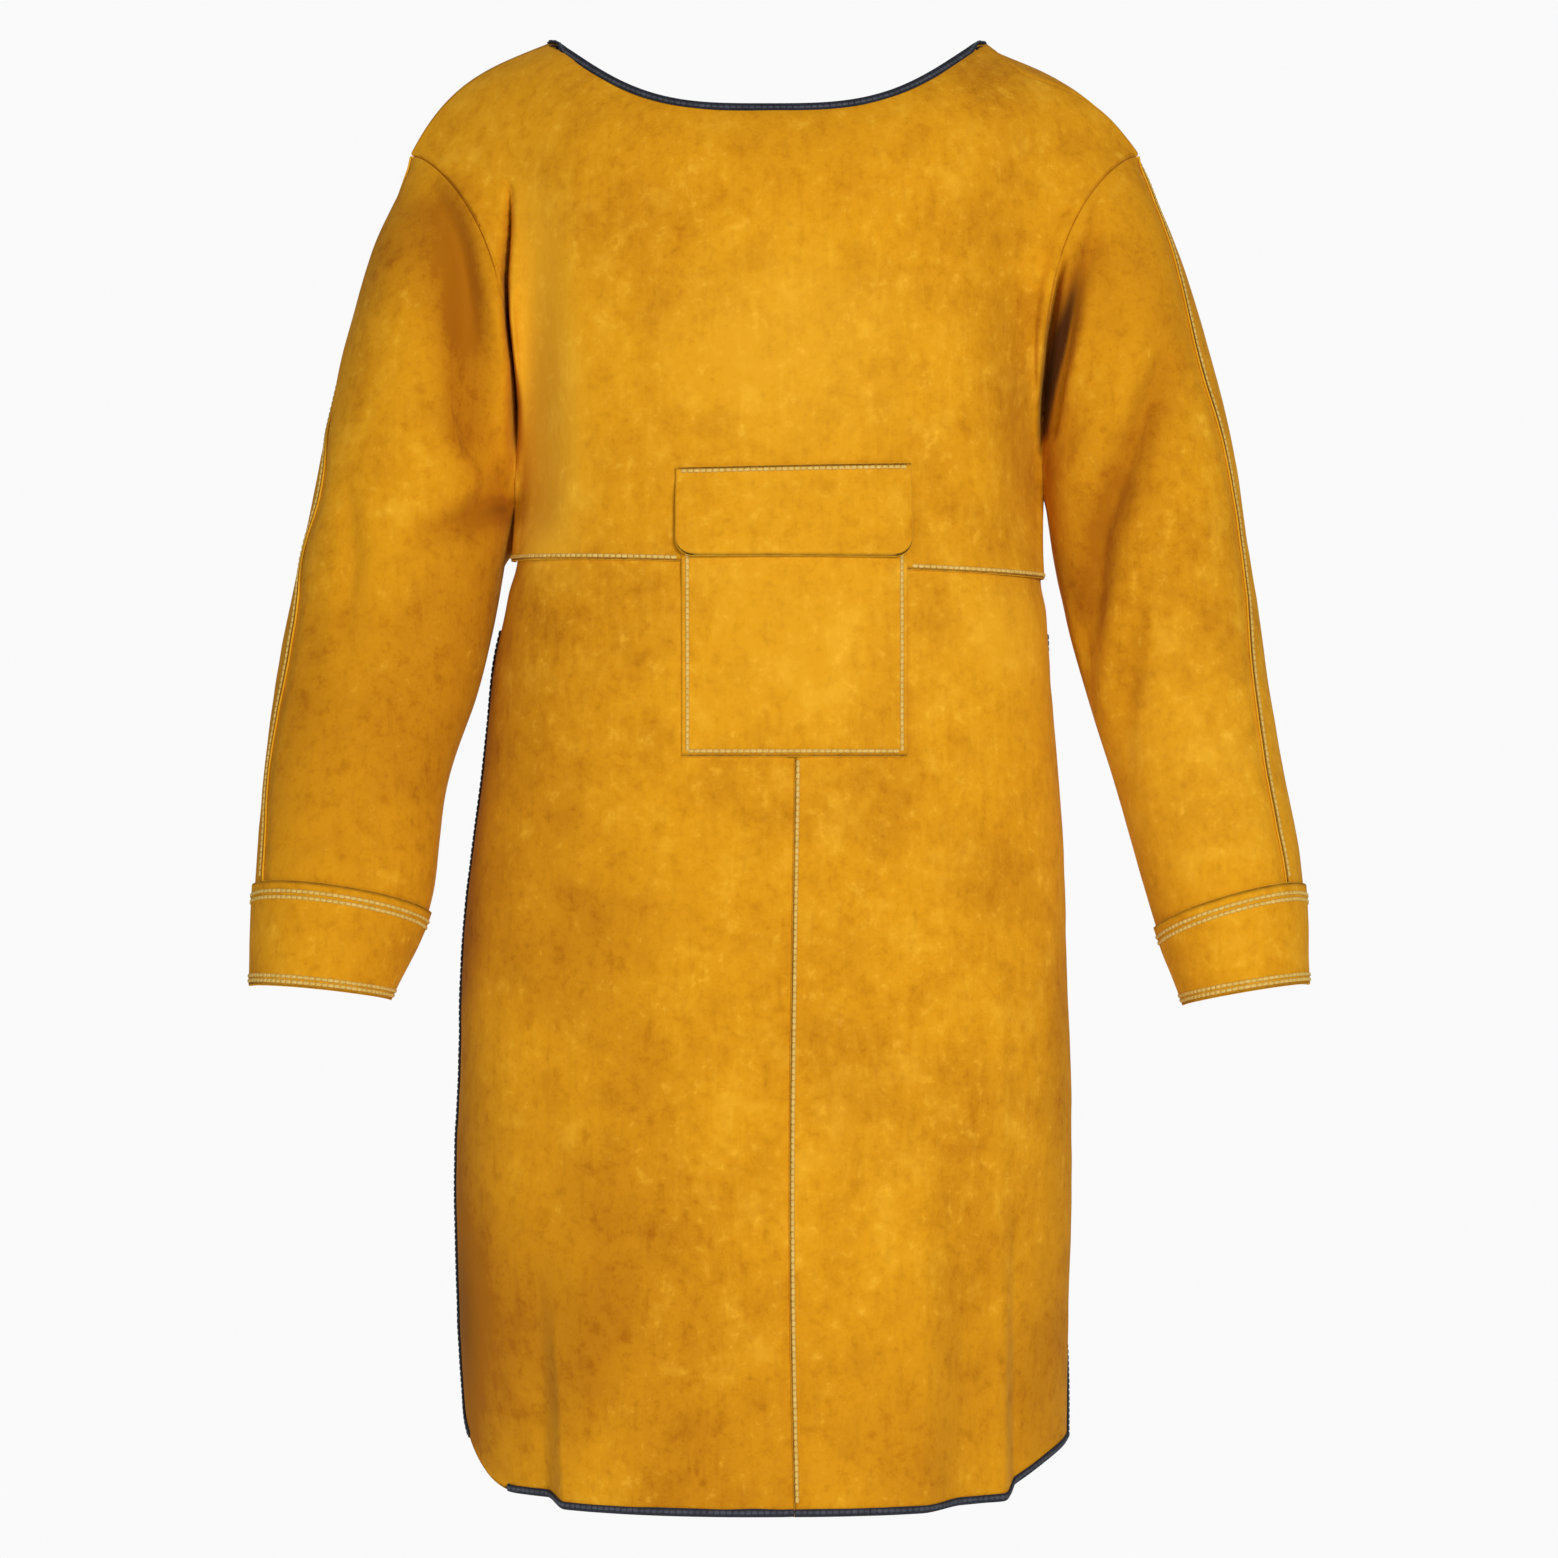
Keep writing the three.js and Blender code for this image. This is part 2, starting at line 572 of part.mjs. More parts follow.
// Hem binding on each panel, side bindings below the waist and the binding of the yoke's lower edge
function bottomStations(grid, from, to) {
  const row = grid.length - 1;
  const cells = range(to - from + 1).map((k) => [row, from + k]);
  return edgeStations(grid, cells, cells.map(([, j]) => [row - 1, j]));
}

function sideStations(grid, column, inner) {
  const rows = range(grid.length - 1).filter((i) => grid[i][column].z < TAPE_TOP_Z);
  return edgeStations(grid, rows.map((i) => [i, column]), rows.map((i) => [i, inner]));
}

const rightHemEnd = skirtRight[0].length - 3;
const leftEdge = skirtLeft[0].length - 1;
addPiece('hem_binding_right', tape(bottomStations(skirtRight, 0, rightHemEnd)), blackTape);
addPiece('hem_binding_left', tape(bottomStations(skirtLeft, 0, leftEdge)), blackTape);
addPiece('side_binding_right', tape(sideStations(skirtRight, 0, 1)), blackTape);
addPiece('side_binding_left', tape(sideStations(skirtLeft, leftEdge, leftEdge - 1)), blackTape);
addPiece('yoke_binding', tape(bottomStations(yoke, 1, COLUMNS.length - 2)), blackTape);

export default apron;
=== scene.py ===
# Leather welding apron with sleeves: suede panels, lapped seams, topstitching and black tape.
# Sizes of the apron are in millimetres and become metres when a mesh is made.
# The camera, the lights and the cut sizes are in metres.
# The front faces -Y, and left and right are the wearer's.
import math

import bpy
import numpy as np
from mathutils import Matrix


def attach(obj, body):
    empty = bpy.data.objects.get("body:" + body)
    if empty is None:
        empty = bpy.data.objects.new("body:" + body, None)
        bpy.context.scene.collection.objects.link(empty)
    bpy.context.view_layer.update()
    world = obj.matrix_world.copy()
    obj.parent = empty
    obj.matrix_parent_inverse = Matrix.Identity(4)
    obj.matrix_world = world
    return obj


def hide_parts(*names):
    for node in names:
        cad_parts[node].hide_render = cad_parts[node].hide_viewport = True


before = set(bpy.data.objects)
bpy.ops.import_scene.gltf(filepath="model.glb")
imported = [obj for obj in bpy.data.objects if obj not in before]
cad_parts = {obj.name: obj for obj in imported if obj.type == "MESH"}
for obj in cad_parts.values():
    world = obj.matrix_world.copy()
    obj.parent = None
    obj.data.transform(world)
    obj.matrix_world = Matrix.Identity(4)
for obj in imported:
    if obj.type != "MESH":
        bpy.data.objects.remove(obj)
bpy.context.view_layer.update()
MM = 0.001

# Camera
CAMERA_AT = (0.0015, -3.2, -0.534)
CAMERA_SENSOR = 36.0
FRAME_WIDTH = 1.12955

# Leather, seams and thread
LEATHER = 1.5
LAYER = 1.6
CUFF_GAP = 0.6
LAP = 12.0
SEAM_TURN = 6.0
STITCH_PITCH = 4.4
STITCH_LENGTH = 4.5
STITCH_WIDTH = 1.4
STITCH_HEIGHT = 0.75

# Neck and shoulders
NECK_X = {"right": -161.0, "left": 147.0}
NECK_ANGLE = {"front": 1.1, "back": 0.98}
NECK_SQUARENESS = 3.3
SHOULDER_DROP = 82.0
SHOULDER_BEND = 4
SHOULDER_ROUND = 120.0
RIDGE_ANGLE = 0.5
SHOULDER_SEAM_ANGLE = 0.3
SHOULDER_SEAM_START = 0.3
SHOULDER_SEAM_FADE = 0.8
CHEST_DEPTH = {"front": 107.0, "back": 78.0}
CHEST_SQUARENESS = 2.7

# Armholes
ARMHOLE_BULGE = 38.0
ARMHOLE_DEPTH = 62.0
ARMHOLE_PEAK = 0.66
ARMHOLE_FADE = 0.13
ARMHOLE_EDGE = 0.13
SHOULDER_ROWS = 7
ARMHOLE_ROWS = 13

# Waist, hem and back
WAIST_Z = {"right": -377.0, "left": -390.0}
HEM_Z = -1047.0
HEM_CORNER = {"right": {"width": 36.0, "height": 56.0}, "left": {"width": 46.0, "height": 24.0}}
YOKE_BOTTOM_Z = -300.0
CENTRE_SEAM = 0.5415
TAPE_TOP_Z = -425.0
CUFF_TOP = 0.88
SLEEVE_END = 0.91

# Pocket and flap
POCKET = {"left": 91.0, "right": -66.0, "top": -332.0, "bottom": -518.0, "corner": 0.0, "rise": 0.0}
FLAP = {"left": 94.0, "right": -70.0, "top": -316.0, "bottom": -378.0, "corner": 12.0, "rise": 3.5}


def table(names, rows):
    columns = np.array(rows, dtype=float).T
    return dict(zip(names.split(), columns))


# The front from the hem up to the underarms: side edges, depth, where the edges stand, roundness
BODY = table("z right left depth edge squareness", [
    (-1047, -222, 211, 126, 4, 2),
    (-935, -230, 213, 124, 9, 2.05),
    (-813, -233, 214, 121, 12, 2.2),
    (-639, -224, 210, 117, 12, 2.4),
    (-534, -212, 203, 114, 9, 2.5),
    (-447, -203, 196, 112, 6, 2.6),
    (-378, -191, 191, 110, 3, 2.7),
    (-335, -190, 193, 108, 0, 2.7),
])
UNDERARM_Z = -335.0

# Folds that grow towards the hem: past a share of the width the sheet swings back, and its hem rises
HEM_FOLDS = table("share towards back width top rise", [
    (0.1525, -1, 22, 0.03, -860, 4),
    (0.782, 1, 18, 0.07, -700, 1),
    (0.893, 1, 22, 0.018, -800, 5),
])

# Sleeve rings from the shoulder to the wrist
SLEEVE_COLUMNS = "along outer_x outer_z inner_x inner_z depth middle rise"
RIGHT_SLEEVE = table(SLEEVE_COLUMNS, [
    (0, -265, -82, -190, -335, 62, 0, 0),
    (0.12, -293, -151, -193, -347, 72, 0, 0),
    (0.24, -312, -221, -196, -364, 70, -2, 0),
    (0.36, -326, -291, -199, -388, 67, -6, 0),
    (0.5, -343, -378, -206, -428, 63, -12, 2),
    (0.62, -357, -450, -217, -474, 61, -20, 5),
    (0.75, -367, -534, -238, -540, 59, -32, 8),
    (0.88, -372, -612, -250, -629, 56, -46, 12),
    (1, -374, -681, -277, -690, 50, -58, 5),
])
LEFT_SLEEVE = table(SLEEVE_COLUMNS, [
    (0, 262, -82, 193, -328, 62, 0, 0),
    (0.12, 289, -151, 196, -338, 72, 0, 0),
    (0.24, 311, -221, 198, -350, 70, -2, 0),
    (0.36, 327, -291, 201, -370, 67, -6, 0),
    (0.5, 341, -378, 207, -402, 63, -12, 2),
    (0.62, 352, -450, 217, -448, 61, -20, 5),
    (0.75, 363, -534, 243, -536, 59, -32, 8),
    (0.88, 375, -612, 272, -640, 56, -46, 12),
    (1, 376, -680, 291, -694, 50, -58, 5),
])

# Angle of the outer seam round each sleeve; the right one waves at the elbow
RIGHT_SEAM = table("along angle", [
    (0, 0),
    (0.12, -0.14),
    (0.26, -0.06),
    (0.335, 0.12),
    (0.38, 0.36),
    (0.43, 0.4),
    (0.487, 0.24),
    (0.545, 0.44),
    (0.62, 0.52),
    (0.75, 0.42),
    (0.88, 0.52),
    (1, 0.5),
])
LEFT_SEAM = table("along angle", [
    (0, 0),
    (0.12, 0.4),
    (0.24, 0.6),
    (0.36, 0.5),
    (0.5, 0.5),
    (0.62, 0.65),
    (0.75, 0.75),
    (0.88, 0.8),
    (1, 0.8),
])

# Folds by points of the front view: how deep the valley is there (a ridge is negative) and how wide
FOLD_COLUMNS = "x z deep wide"
SLEEVE_FOLDS = [table(FOLD_COLUMNS, rows) for rows in (
    [(-240, -112, 5, 11), (-224, -148, 14, 14), (-218, -215, 17, 16), (-214, -286, 12, 16),
     (-204, -325, 5, 12)],
    [(-193, -322, 4, 9), (-218, -350, 8, 10), (-253, -364, 4, 9)],
    [(-306, -336, 3, 9), (-301, -378, 5, 9), (-306, -435, 2, 9)],
    [(-340, -580, 2, 8), (-313, -573, 4, 8), (-285, -600, 2, 8)],
    [(275, -238, 5, 10), (254, -295, 13, 12), (227, -356, 14, 14), (221, -410, 13, 12),
     (216, -470, 4, 10)],
    [(255, -420, 5, 9), (249, -450, 6, 11), (246, -490, 5, 10), (249, -530, 2, 9)],
    [(221, -152, 9, 8), (207, -194, 18, 10), (200, -225, 22, 9), (196, -250, 22, 7),
     (193, -285, 14, 5)],
    [(229, -110, 5, 5), (226, -130, 8, 6), (229, -170, 6, 8), (232, -200, 2, 8)],
)]
FRONT_FOLDS = [table(FOLD_COLUMNS, rows) for rows in (
    [(-150, -640, 1.5, 22), (-160, -800, 2.5, 22), (-168, -980, 2.5, 20)],
    [(60, -760, -2, 28), (85, -880, -2.5, 30), (110, -1000, -2.5, 30)],
    [(156, -640, -0.5, 7), (157, -800, -1.6, 7), (158, -1045, -2.4, 7)],
)]

# Tones of the hide: painted shade in folds and painted light on ridges by their depth, paler worn cut
# edges, and spots of the front view
PAINTED_FOLD_SHADING = 0.022
EDGE_TONE = 0.45
# Spots that make the hide browner (below 0) or paler: partly its own uneven tone, partly painted shade on
# the sides and sleeves turned from the light and painted light on the chest
TONE_AND_SHADING_SPOTS = table("x z reach tone", [
    (10, -110, 90, -0.12),
    (10, -220, 80, 0.28),
    (15, -430, 90, 0.14),
    (165, -425, 40, 0.2),
    (-120, -640, 70, -0.15),
    (-215, -920, 90, -0.65),
    (-130, -1020, 40, 0.15),
    (-40, -1020, 60, -0.2),
    (100, -980, 80, -0.28),
    (190, -960, 60, -0.16),
    (-262, -150, 40, -0.3),
    (-228, -404, 40, -0.25),
    (-306, -520, 100, -0.34),
    (260, -180, 60, -0.3),
    (290, -520, 90, 0.14),
])

# Painted shading in soft streaks by points of the front view: painted shade along sleeve folds, in the
# hollows by the slits and down the skirt's folds and sides, and painted light along the bib's edge; how
# much browner (a paler one is negative) and how wide
PAINTED_SHADING_STREAKS = [table(FOLD_COLUMNS, rows) for rows in (
    [(-170, -125, -0.2, 20), (-168, -200, -0.4, 24), (-165, -270, -0.6, 24), (-165, -360, -0.6, 24)],
    [(-236, -120, 0.2, 16), (-229, -160, 0.45, 19), (-226, -215, 0.5, 21), (-224, -285, 0.45, 22)],
    [(-240, -354, 0.3, 16), (-218, -347, 0.7, 14), (-206, -343, 0.95, 12), (-197, -340, 1.15, 10)],
    [(220, -162, 0.3, 9), (211, -190, 1.0, 8), (204, -217, 1.45, 7), (199, -245, 1.5, 5.5),
     (194, -285, 1.2, 4)],
    [(276, -250, 0.15, 14), (258, -298, 0.45, 20), (236, -350, 0.3, 20), (222, -405, 0.3, 18)],
    [(-108, -800, 0.1, 24), (-118, -900, 0.3, 22), (-140, -990, 0.25, 20), (-150, -1040, 0.1, 14)],
    [(-222, -520, 0.25, 14), (-230, -660, 0.5, 18), (-233, -850, 0.6, 20), (-226, -1010, 0.6, 24)],
    [(206, -640, 0.1, 12), (207, -820, 0.25, 16), (205, -1010, 0.25, 20)],
)]

# Slits between the chest and the sleeves, where both sheets turn in; they fade towards the shoulder line
SLIT_FADE = (5, 40)
SLITS = [table(FOLD_COLUMNS, rows) for rows in (
    [(-190, -110, 2, 2.2), (-191, -140, 24, 2.2), (-194, -175, 36, 2.4), (-193, -205, 42, 2.2),
     (-190, -237, 44, 2), (-189, -265, 46, 3.6), (-189, -292, 46, 4), (-189.5, -308, 44, 2.8),
     (-190, -326, 44, 5), (-191, -340, 42, 6.5), (-190.5, -350, 14, 5), (-190, -358, 0, 4)],
    [(206, -160, 2, 2.5), (201, -180, 24, 3), (196, -217, 40, 3.6), (192.5, -262, 44, 3.4),
     (191, -296, 40, 3), (192, -318, 14, 3), (192, -330, 0, 3)],
)]


def look(rows, key, at):
    """Value of a named column at a place along the table's first column, on a smooth curve."""
    places = next(iter(rows.values()))
    values = rows[key]
    last = len(places) - 1
    at = np.clip(at, places[0], places[-1])
    k = np.clip(np.searchsorted(places, at, side="left") - 1, 0, last - 1)
    before = np.maximum(np.arange(last + 1) - 1, 0)
    after = np.minimum(np.arange(last + 1) + 1, last)
    slopes = (values[after] - values[before]) / (places[after] - places[before])
    span = places[k + 1] - places[k]
    t = (at - places[k]) / span
    start = values[k] * (1 + 2 * t) * (1 - t) ** 2 + slopes[k] * span * t * (1 - t) ** 2
    end = values[k + 1] * t * t * (3 - 2 * t) + slopes[k + 1] * span * t * t * (t - 1)
    return start + end


def lerp(a, b, t):
    return a + (b - a) * t


def smoothstep(at, low, high):
    t = np.clip((at - low) / (high - low), 0, 1)
    return t * t * (3 - 2 * t)


# 1 between a range where it rises and a range where it falls
def plateau(at, rise, fall):
    return smoothstep(at, *rise) * (1 - smoothstep(at, *fall))


def roundness(s, squareness):
    return np.maximum(1 - np.abs(2 * s - 1) ** squareness, 0) ** (1 / squareness)


def points(x, y, z):
    return np.stack(np.broadcast_arrays(x, y, z), axis=-1).astype(float)


def unit(vectors):
    length = np.linalg.norm(vectors, axis=-1, keepdims=True)
    return vectors / np.maximum(length, 1e-9)


def waist_z(s):
    return lerp(WAIST_Z["right"], WAIST_Z["left"], s)


def past_fold(s, share, towards, width):
    return smoothstep((s - share) * towards, -width / 2, width / 2)


def hem_swing(s, z):
    swing = 0.0
    for share, towards, back, width, top, _ in zip(*HEM_FOLDS.values()):
        swing = swing + back * past_fold(s, share, towards, width) * smoothstep(top - z, 0, top - HEM_Z)
    return swing


def front_point(s, z):
    x = lerp(look(BODY, "right", z), look(BODY, "left", z), s)
    edge = look(BODY, "edge", z)
    depth = look(BODY, "depth", z) + edge
    y = edge - depth * roundness(s, look(BODY, "squareness", z)) + hem_swing(s, z)
    return points(x, y, z)


def front_place(x, z):
    right = look(BODY, "right", z)
    return (x - right) / (look(BODY, "left", z) - right)


# A point of a sleeve: angle 0 is the outer edge, pi the inner edge, positive angles are the front
def sleeve_point(sleeve, along, angle):
    turn = np.abs(angle)
    facing = np.where(angle < 0, 1.0, -1.0)
    across = (1 - np.cos(turn)) / 2
    fade = np.maximum(1 - along / ARMHOLE_FADE, 0) ** 2
    peak = np.sin(math.pi * across ** ARMHOLE_PEAK)
    outwards = np.sign(sleeve["outer_x"][0])
    deep = lerp(look(sleeve, "depth", along) * np.sin(turn), ARMHOLE_DEPTH * peak, fade)
    x = lerp(look(sleeve, "outer_x", along), look(sleeve, "inner_x", along), across)
    z = lerp(look(sleeve, "outer_z", along), look(sleeve, "inner_z", along), across)
    return points(
        x - outwards * ARMHOLE_BULGE * peak * fade,
        look(sleeve, "middle", along) + facing * deep,
        z + np.maximum(-facing, 0) * look(sleeve, "rise", along) * np.sin(turn),
    )


# Sections across the shoulders run from s = 0 at the right sleeve to s = 1 at the left sleeve
TIP_RIGHT = RIGHT_SLEEVE["outer_x"][0]
TIP_SPAN = LEFT_SLEEVE["outer_x"][0] - TIP_RIGHT
NECK_RIGHT = (NECK_X["right"] - TIP_RIGHT) / TIP_SPAN
NECK_LEFT = (NECK_X["left"] - TIP_RIGHT) / TIP_SPAN
NECK_MIDDLE = (NECK_RIGHT + NECK_LEFT) / 2


def shoulder_reach(s):
    outside = np.where(s < NECK_RIGHT, 1 - s / NECK_RIGHT, (s - NECK_LEFT) / (1 - NECK_LEFT))
    return np.clip(outside, 0, 1)


def ridge_z(s):
    reach = shoulder_reach(s)
    return -SHOULDER_DROP / 2 * (reach + reach ** SHOULDER_BEND)


# Bend from the shoulder ridge where a panel starts, at the neckline or at the shoulder seam
def start_bend(s, facing):
    lowest = NECK_ANGLE["front" if facing < 0 else "back"] - RIDGE_ANGLE
    across = np.minimum(np.abs((s - NECK_MIDDLE) / (NECK_LEFT - NECK_MIDDLE)), 1)
    neck = -facing * lowest * (1 - across ** NECK_SQUARENESS)
    reach = shoulder_reach(s)
    begin = smoothstep(reach, 0, SHOULDER_SEAM_START)
    seam = SHOULDER_SEAM_ANGLE * begin * (1 - SHOULDER_SEAM_FADE * reach)
    return np.where(s > NECK_LEFT, seam, np.where(s < NECK_RIGHT, 0.0, neck))


def row_bend(s, row, facing):
    start = start_bend(s, facing)
    end = -facing * (math.pi / 2 - RIDGE_ANGLE)
    plain = lerp(start, end, np.minimum(row / SHOULDER_ROWS, 1))
    past_ridge = lerp(0, end, np.clip((row - 1) / (SHOULDER_ROWS - 1), 0, 1))
    over_ridge = np.where(row < 1, lerp(start, 0, row), past_ridge)
    return np.where((facing > 0) & (start > 0), over_ridge, plain)


def upper_height(s, row, facing, bottom_z):
    angle = RIDGE_ANGLE + np.abs(row_bend(s, row, facing))
    fall = SHOULDER_ROUND * (1 - np.cos(angle) / math.cos(RIDGE_ANGLE))
    below = np.clip((row - SHOULDER_ROWS) / (ARMHOLE_ROWS - SHOULDER_ROWS), 0, 1)
    return lerp(ridge_z(s) - fall, bottom_z, below)


# A point of the chest (facing -1) or of the back (facing 1), by rows from the ridge to the underarms
def upper_point(s, row, facing, bottom_z):
    bend = row_bend(s, row, facing)
    depth = np.where(bend < 0, CHEST_DEPTH["back"], -CHEST_DEPTH["front"])
    rise = np.sin(RIDGE_ANGLE + np.abs(bend)) - math.sin(RIDGE_ANGLE)
    y = depth * rise * roundness(s, CHEST_SQUARENESS) / (1 - math.sin(RIDGE_ANGLE))
    turn = -facing * math.pi * np.minimum(row, ARMHOLE_ROWS) / ARMHOLE_ROWS
    right = sleeve_point(RIGHT_SLEEVE, 0, turn)
    left = sleeve_point(LEFT_SLEEVE, 0, turn)
    side = np.where((s < 0.5)[..., None], right, left)
    edge = np.maximum(1 - np.minimum(s, 1 - s) / ARMHOLE_EDGE, 0) ** 2
    sag = side[..., 2] - upper_height(np.round(s), row, facing, bottom_z)
    z = upper_height(s, row, facing, bottom_z) + sag * edge
    return points(lerp(right[..., 0], left[..., 0], s), lerp(y, side[..., 1], edge), z)


# How far along a line each of its points lies
def distances(path):
    steps = np.linalg.norm(np.diff(path[:, :3], axis=0), axis=1)
    return np.concatenate([[0], np.cumsum(steps)])


LINE_SAMPLES = 801


# Uneven steps of a parameter that give even steps along a line
def even_steps(line, start, end, step):
    fine = np.linspace(start, end, LINE_SAMPLES)
    length = distances(line(fine))
    count = max(int(round(length[-1] / step)), 1)
    return np.interp(np.linspace(0, length[-1], count + 1), length, fine)


def grid_normals(grid, closed=False):
    ring = np.concatenate([grid[:, -1:], grid, grid[:, :1]], axis=1) if closed else grid
    cells = unit(np.cross(ring[1:, 1:] - ring[:-1, :-1], ring[:-1, 1:] - ring[1:, :-1]))
    padded = np.pad(cells, ((1, 1), (1, 1), (0, 0)))
    total = padded[1:, 1:] + padded[:-1, 1:] + padded[1:, :-1] + padded[:-1, :-1]
    return unit(total[:, 1:-1] if closed else total)


# Takes the kinks out of a grid and leaves its border where it is
def smooth(grid, passes):
    grid = grid.copy()
    for _ in range(passes):
        inner = grid[1:-1, 1:-1]
        around = grid[:-2, 1:-1] + grid[2:, 1:-1] + grid[1:-1, :-2] + grid[1:-1, 2:]
        grid[1:-1, 1:-1] = lerp(inner, around / 4, 0.5)
    return grid


# Relief of the hide: smooth noise by place, so that layers that lie on each other rise together
RELIEF = table("size height", [
    (95, 1.7),
    (38, 0.7),
    (15, 0.22),
])
LATTICE_SIZE = 32
LATTICE = np.random.default_rng(11).uniform(-1, 1, (LATTICE_SIZE,) * 3)


def noise(p, size):
    at = p / size
    cell = np.floor(at).astype(int)
    t = at - cell
    t = t * t * (3 - 2 * t)
    total = np.zeros(p.shape[:-1])
    for corner in np.ndindex(2, 2, 2):
        weight = np.prod(np.where(corner, t, 1 - t), axis=-1)
        i, j, k = np.moveaxis((cell + corner) % LATTICE_SIZE, -1, 0)
        total += weight * LATTICE[i, j, k]
    return total


def relief(p):
    return sum(height * noise(p, size) for size, height in zip(*RELIEF.values()))


# Depth of folds at a place of the front view
def fold_depth(p, folds):
    flat = p[..., [0, 2]]
    total = np.zeros(flat.shape[:-1])
    for fold in folds:
        spots = np.stack([fold["x"], fold["z"]], axis=-1)
        nearest = np.full(total.shape, np.inf)
        depth = np.zeros(total.shape)
        for k in range(len(spots) - 1):
            run = spots[k + 1] - spots[k]
            t = np.clip((flat - spots[k]) @ run / (run @ run), 0, 1)
            away = np.linalg.norm(flat - spots[k] - t[..., None] * run, axis=-1)
            deep = lerp(fold["deep"][k], fold["deep"][k + 1], t)
            wide = lerp(fold["wide"][k], fold["wide"][k + 1], t)
            depth = np.where(away < nearest, deep * np.exp(-((away / wide) ** 2)), depth)
            nearest = np.minimum(nearest, away)
        total += depth
    return total


# Presses the slits into the front of a grid, straight back
def slit(grid):
    in_front = smoothstep(-grid[..., 1], *SLIT_FADE)
    return grid + points(0, fold_depth(grid, SLITS) * in_front, 0)


# Weights that are 0 on the named borders of a grid and 1 a few cells inside
def border_fade(shape, cells, sides):
    rows = np.arange(shape[0])[:, None]
    columns = np.arange(shape[1])[None, :]
    away = {
        "top": rows,
        "bottom": shape[0] - 1 - rows,
        "start": columns,
        "end": shape[1] - 1 - columns,
    }
    weight = np.ones(shape[:2])
    for side in sides:
        weight = weight * smoothstep(away[side], 0, cells)
    return weight


def outward_normals(grid, inside, closed=False):
    normals = grid_normals(grid, closed)
    facing = np.sum(normals * (grid - inside))
    return normals if facing > 0 else -normals


def raised(grid, normals, height):
    return grid + normals * np.asarray(height)[..., None]


# Profile of an edge that is turned in at a seam: how far from the seam line, and how deep
TURN = table("away deep", [
    (0.8, SEAM_TURN),
    (0.84, 2.6),
    (0.95, 1.0),
    (1.25, 0.3),
    (1.5, 0.06),
])
BORDERS = {"top": (0, 0), "bottom": (0, -1), "start": (1, 0), "end": (1, -1)}


def border(grid, side):
    axis, at = BORDERS[side]
    return np.take(grid, at, axis=axis)


def into_panel(grid, side):
    axis, at = BORDERS[side]
    second = np.take(grid, 1 if at == 0 else -2, axis=axis)
    return unit(second - border(grid, side))


def padded(lines, before, after):
    first = np.repeat(lines[:1], before, axis=0)
    last = np.repeat(lines[-1:], after, axis=0)
    return np.concatenate([first, lines, last])


# Replaces a border by an edge that turns in; share is 1 where the seam runs and 0 on a free edge,
# and pad is how many places of the border lie before and after the seam
def turned(grid, side, across, inward, share=1.0, pad=(0, 0)):
    axis, at = BORDERS[side]
    edge = border(grid, side)
    share = np.broadcast_to(share, len(across))[:, None]
    across, inward, share = (padded(rows, *pad) for rows in (across, inward, share))
    lines = [edge + across * away + inward * deep * share for away, deep in zip(*TURN.values())]
    strip = np.stack(lines if at == 0 else lines[::-1], axis=axis)
    rest = np.delete(grid, at, axis=axis)
    return np.concatenate([strip, rest] if at == 0 else [rest, strip], axis=axis)


# Directions of a seam between two panels: across into the first panel, and inward
def seam_directions(first, first_normals, first_side, second, second_normals, second_side):
    inward = -unit(border(first_normals, first_side) + border(second_normals, second_side))
    across = into_panel(first, first_side) - into_panel(second, second_side)
    across = across - inward * np.sum(across * inward, axis=-1, keepdims=True)
    return unit(across), inward


# Rounded cut edge: angles of its lines, and its height and reach as shares of half the thickness
RIM_ANGLES = (1.05, 0.4, -0.4, -1.05)
RIM_HEIGHT = 1.1
RIM_REACH = 0.7


def ring_indices(shape, closed):
    rows, columns = shape[:2]
    at = np.arange(rows * columns).reshape(rows, columns)
    if closed:
        return [at[0], at[-1][::-1]]
    return [np.concatenate([at[0], at[1:, -1], at[-1, -2::-1], at[-2:0:-1, 0]])]


def grid_quads(shape, closed):
    rows, columns = shape[:2]
    at = np.arange(rows * columns).reshape(rows, columns)
    if closed:
        at = np.concatenate([at, at[:, :1]], axis=1)
    corners = [at[:-1, :-1], at[1:, :-1], at[1:, 1:], at[:-1, 1:]]
    return np.stack(corners, axis=-1).reshape(-1, 4)


def band_quads(first, second):
    return np.stack([first, np.roll(first, -1), np.roll(second, -1), second], axis=-1)


def signed_volume(vertices, quads):
    a, b, c, d = (vertices[quads[:, k]] for k in range(4))
    first = np.sum(a * np.cross(b, c))
    return first + np.sum(a * np.cross(c, d))


def add_mesh(name, vertices, quads, material, ends=(), sharp=None, tone=None):
    faces = quads.tolist() + [end.tolist() for end in ends]
    if signed_volume(vertices, quads) < 0:
        faces = [face[::-1] for face in faces]
    mesh = bpy.data.meshes.new(name)
    mesh.from_pydata((vertices * MM).tolist(), [], faces)
    mesh.polygons.foreach_set("use_smooth", np.ones(len(faces), dtype=bool))
    if sharp:
        mesh.set_sharp_from_angle(angle=math.radians(sharp))
    if tone is not None:
        mesh.attributes.new("tone", "FLOAT", "POINT").data.foreach_set("value", tone)
    mesh.materials.append(material)
    piece = bpy.data.objects.new(name, mesh)
    bpy.context.scene.collection.objects.link(piece)
    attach(piece, "root")
    return piece


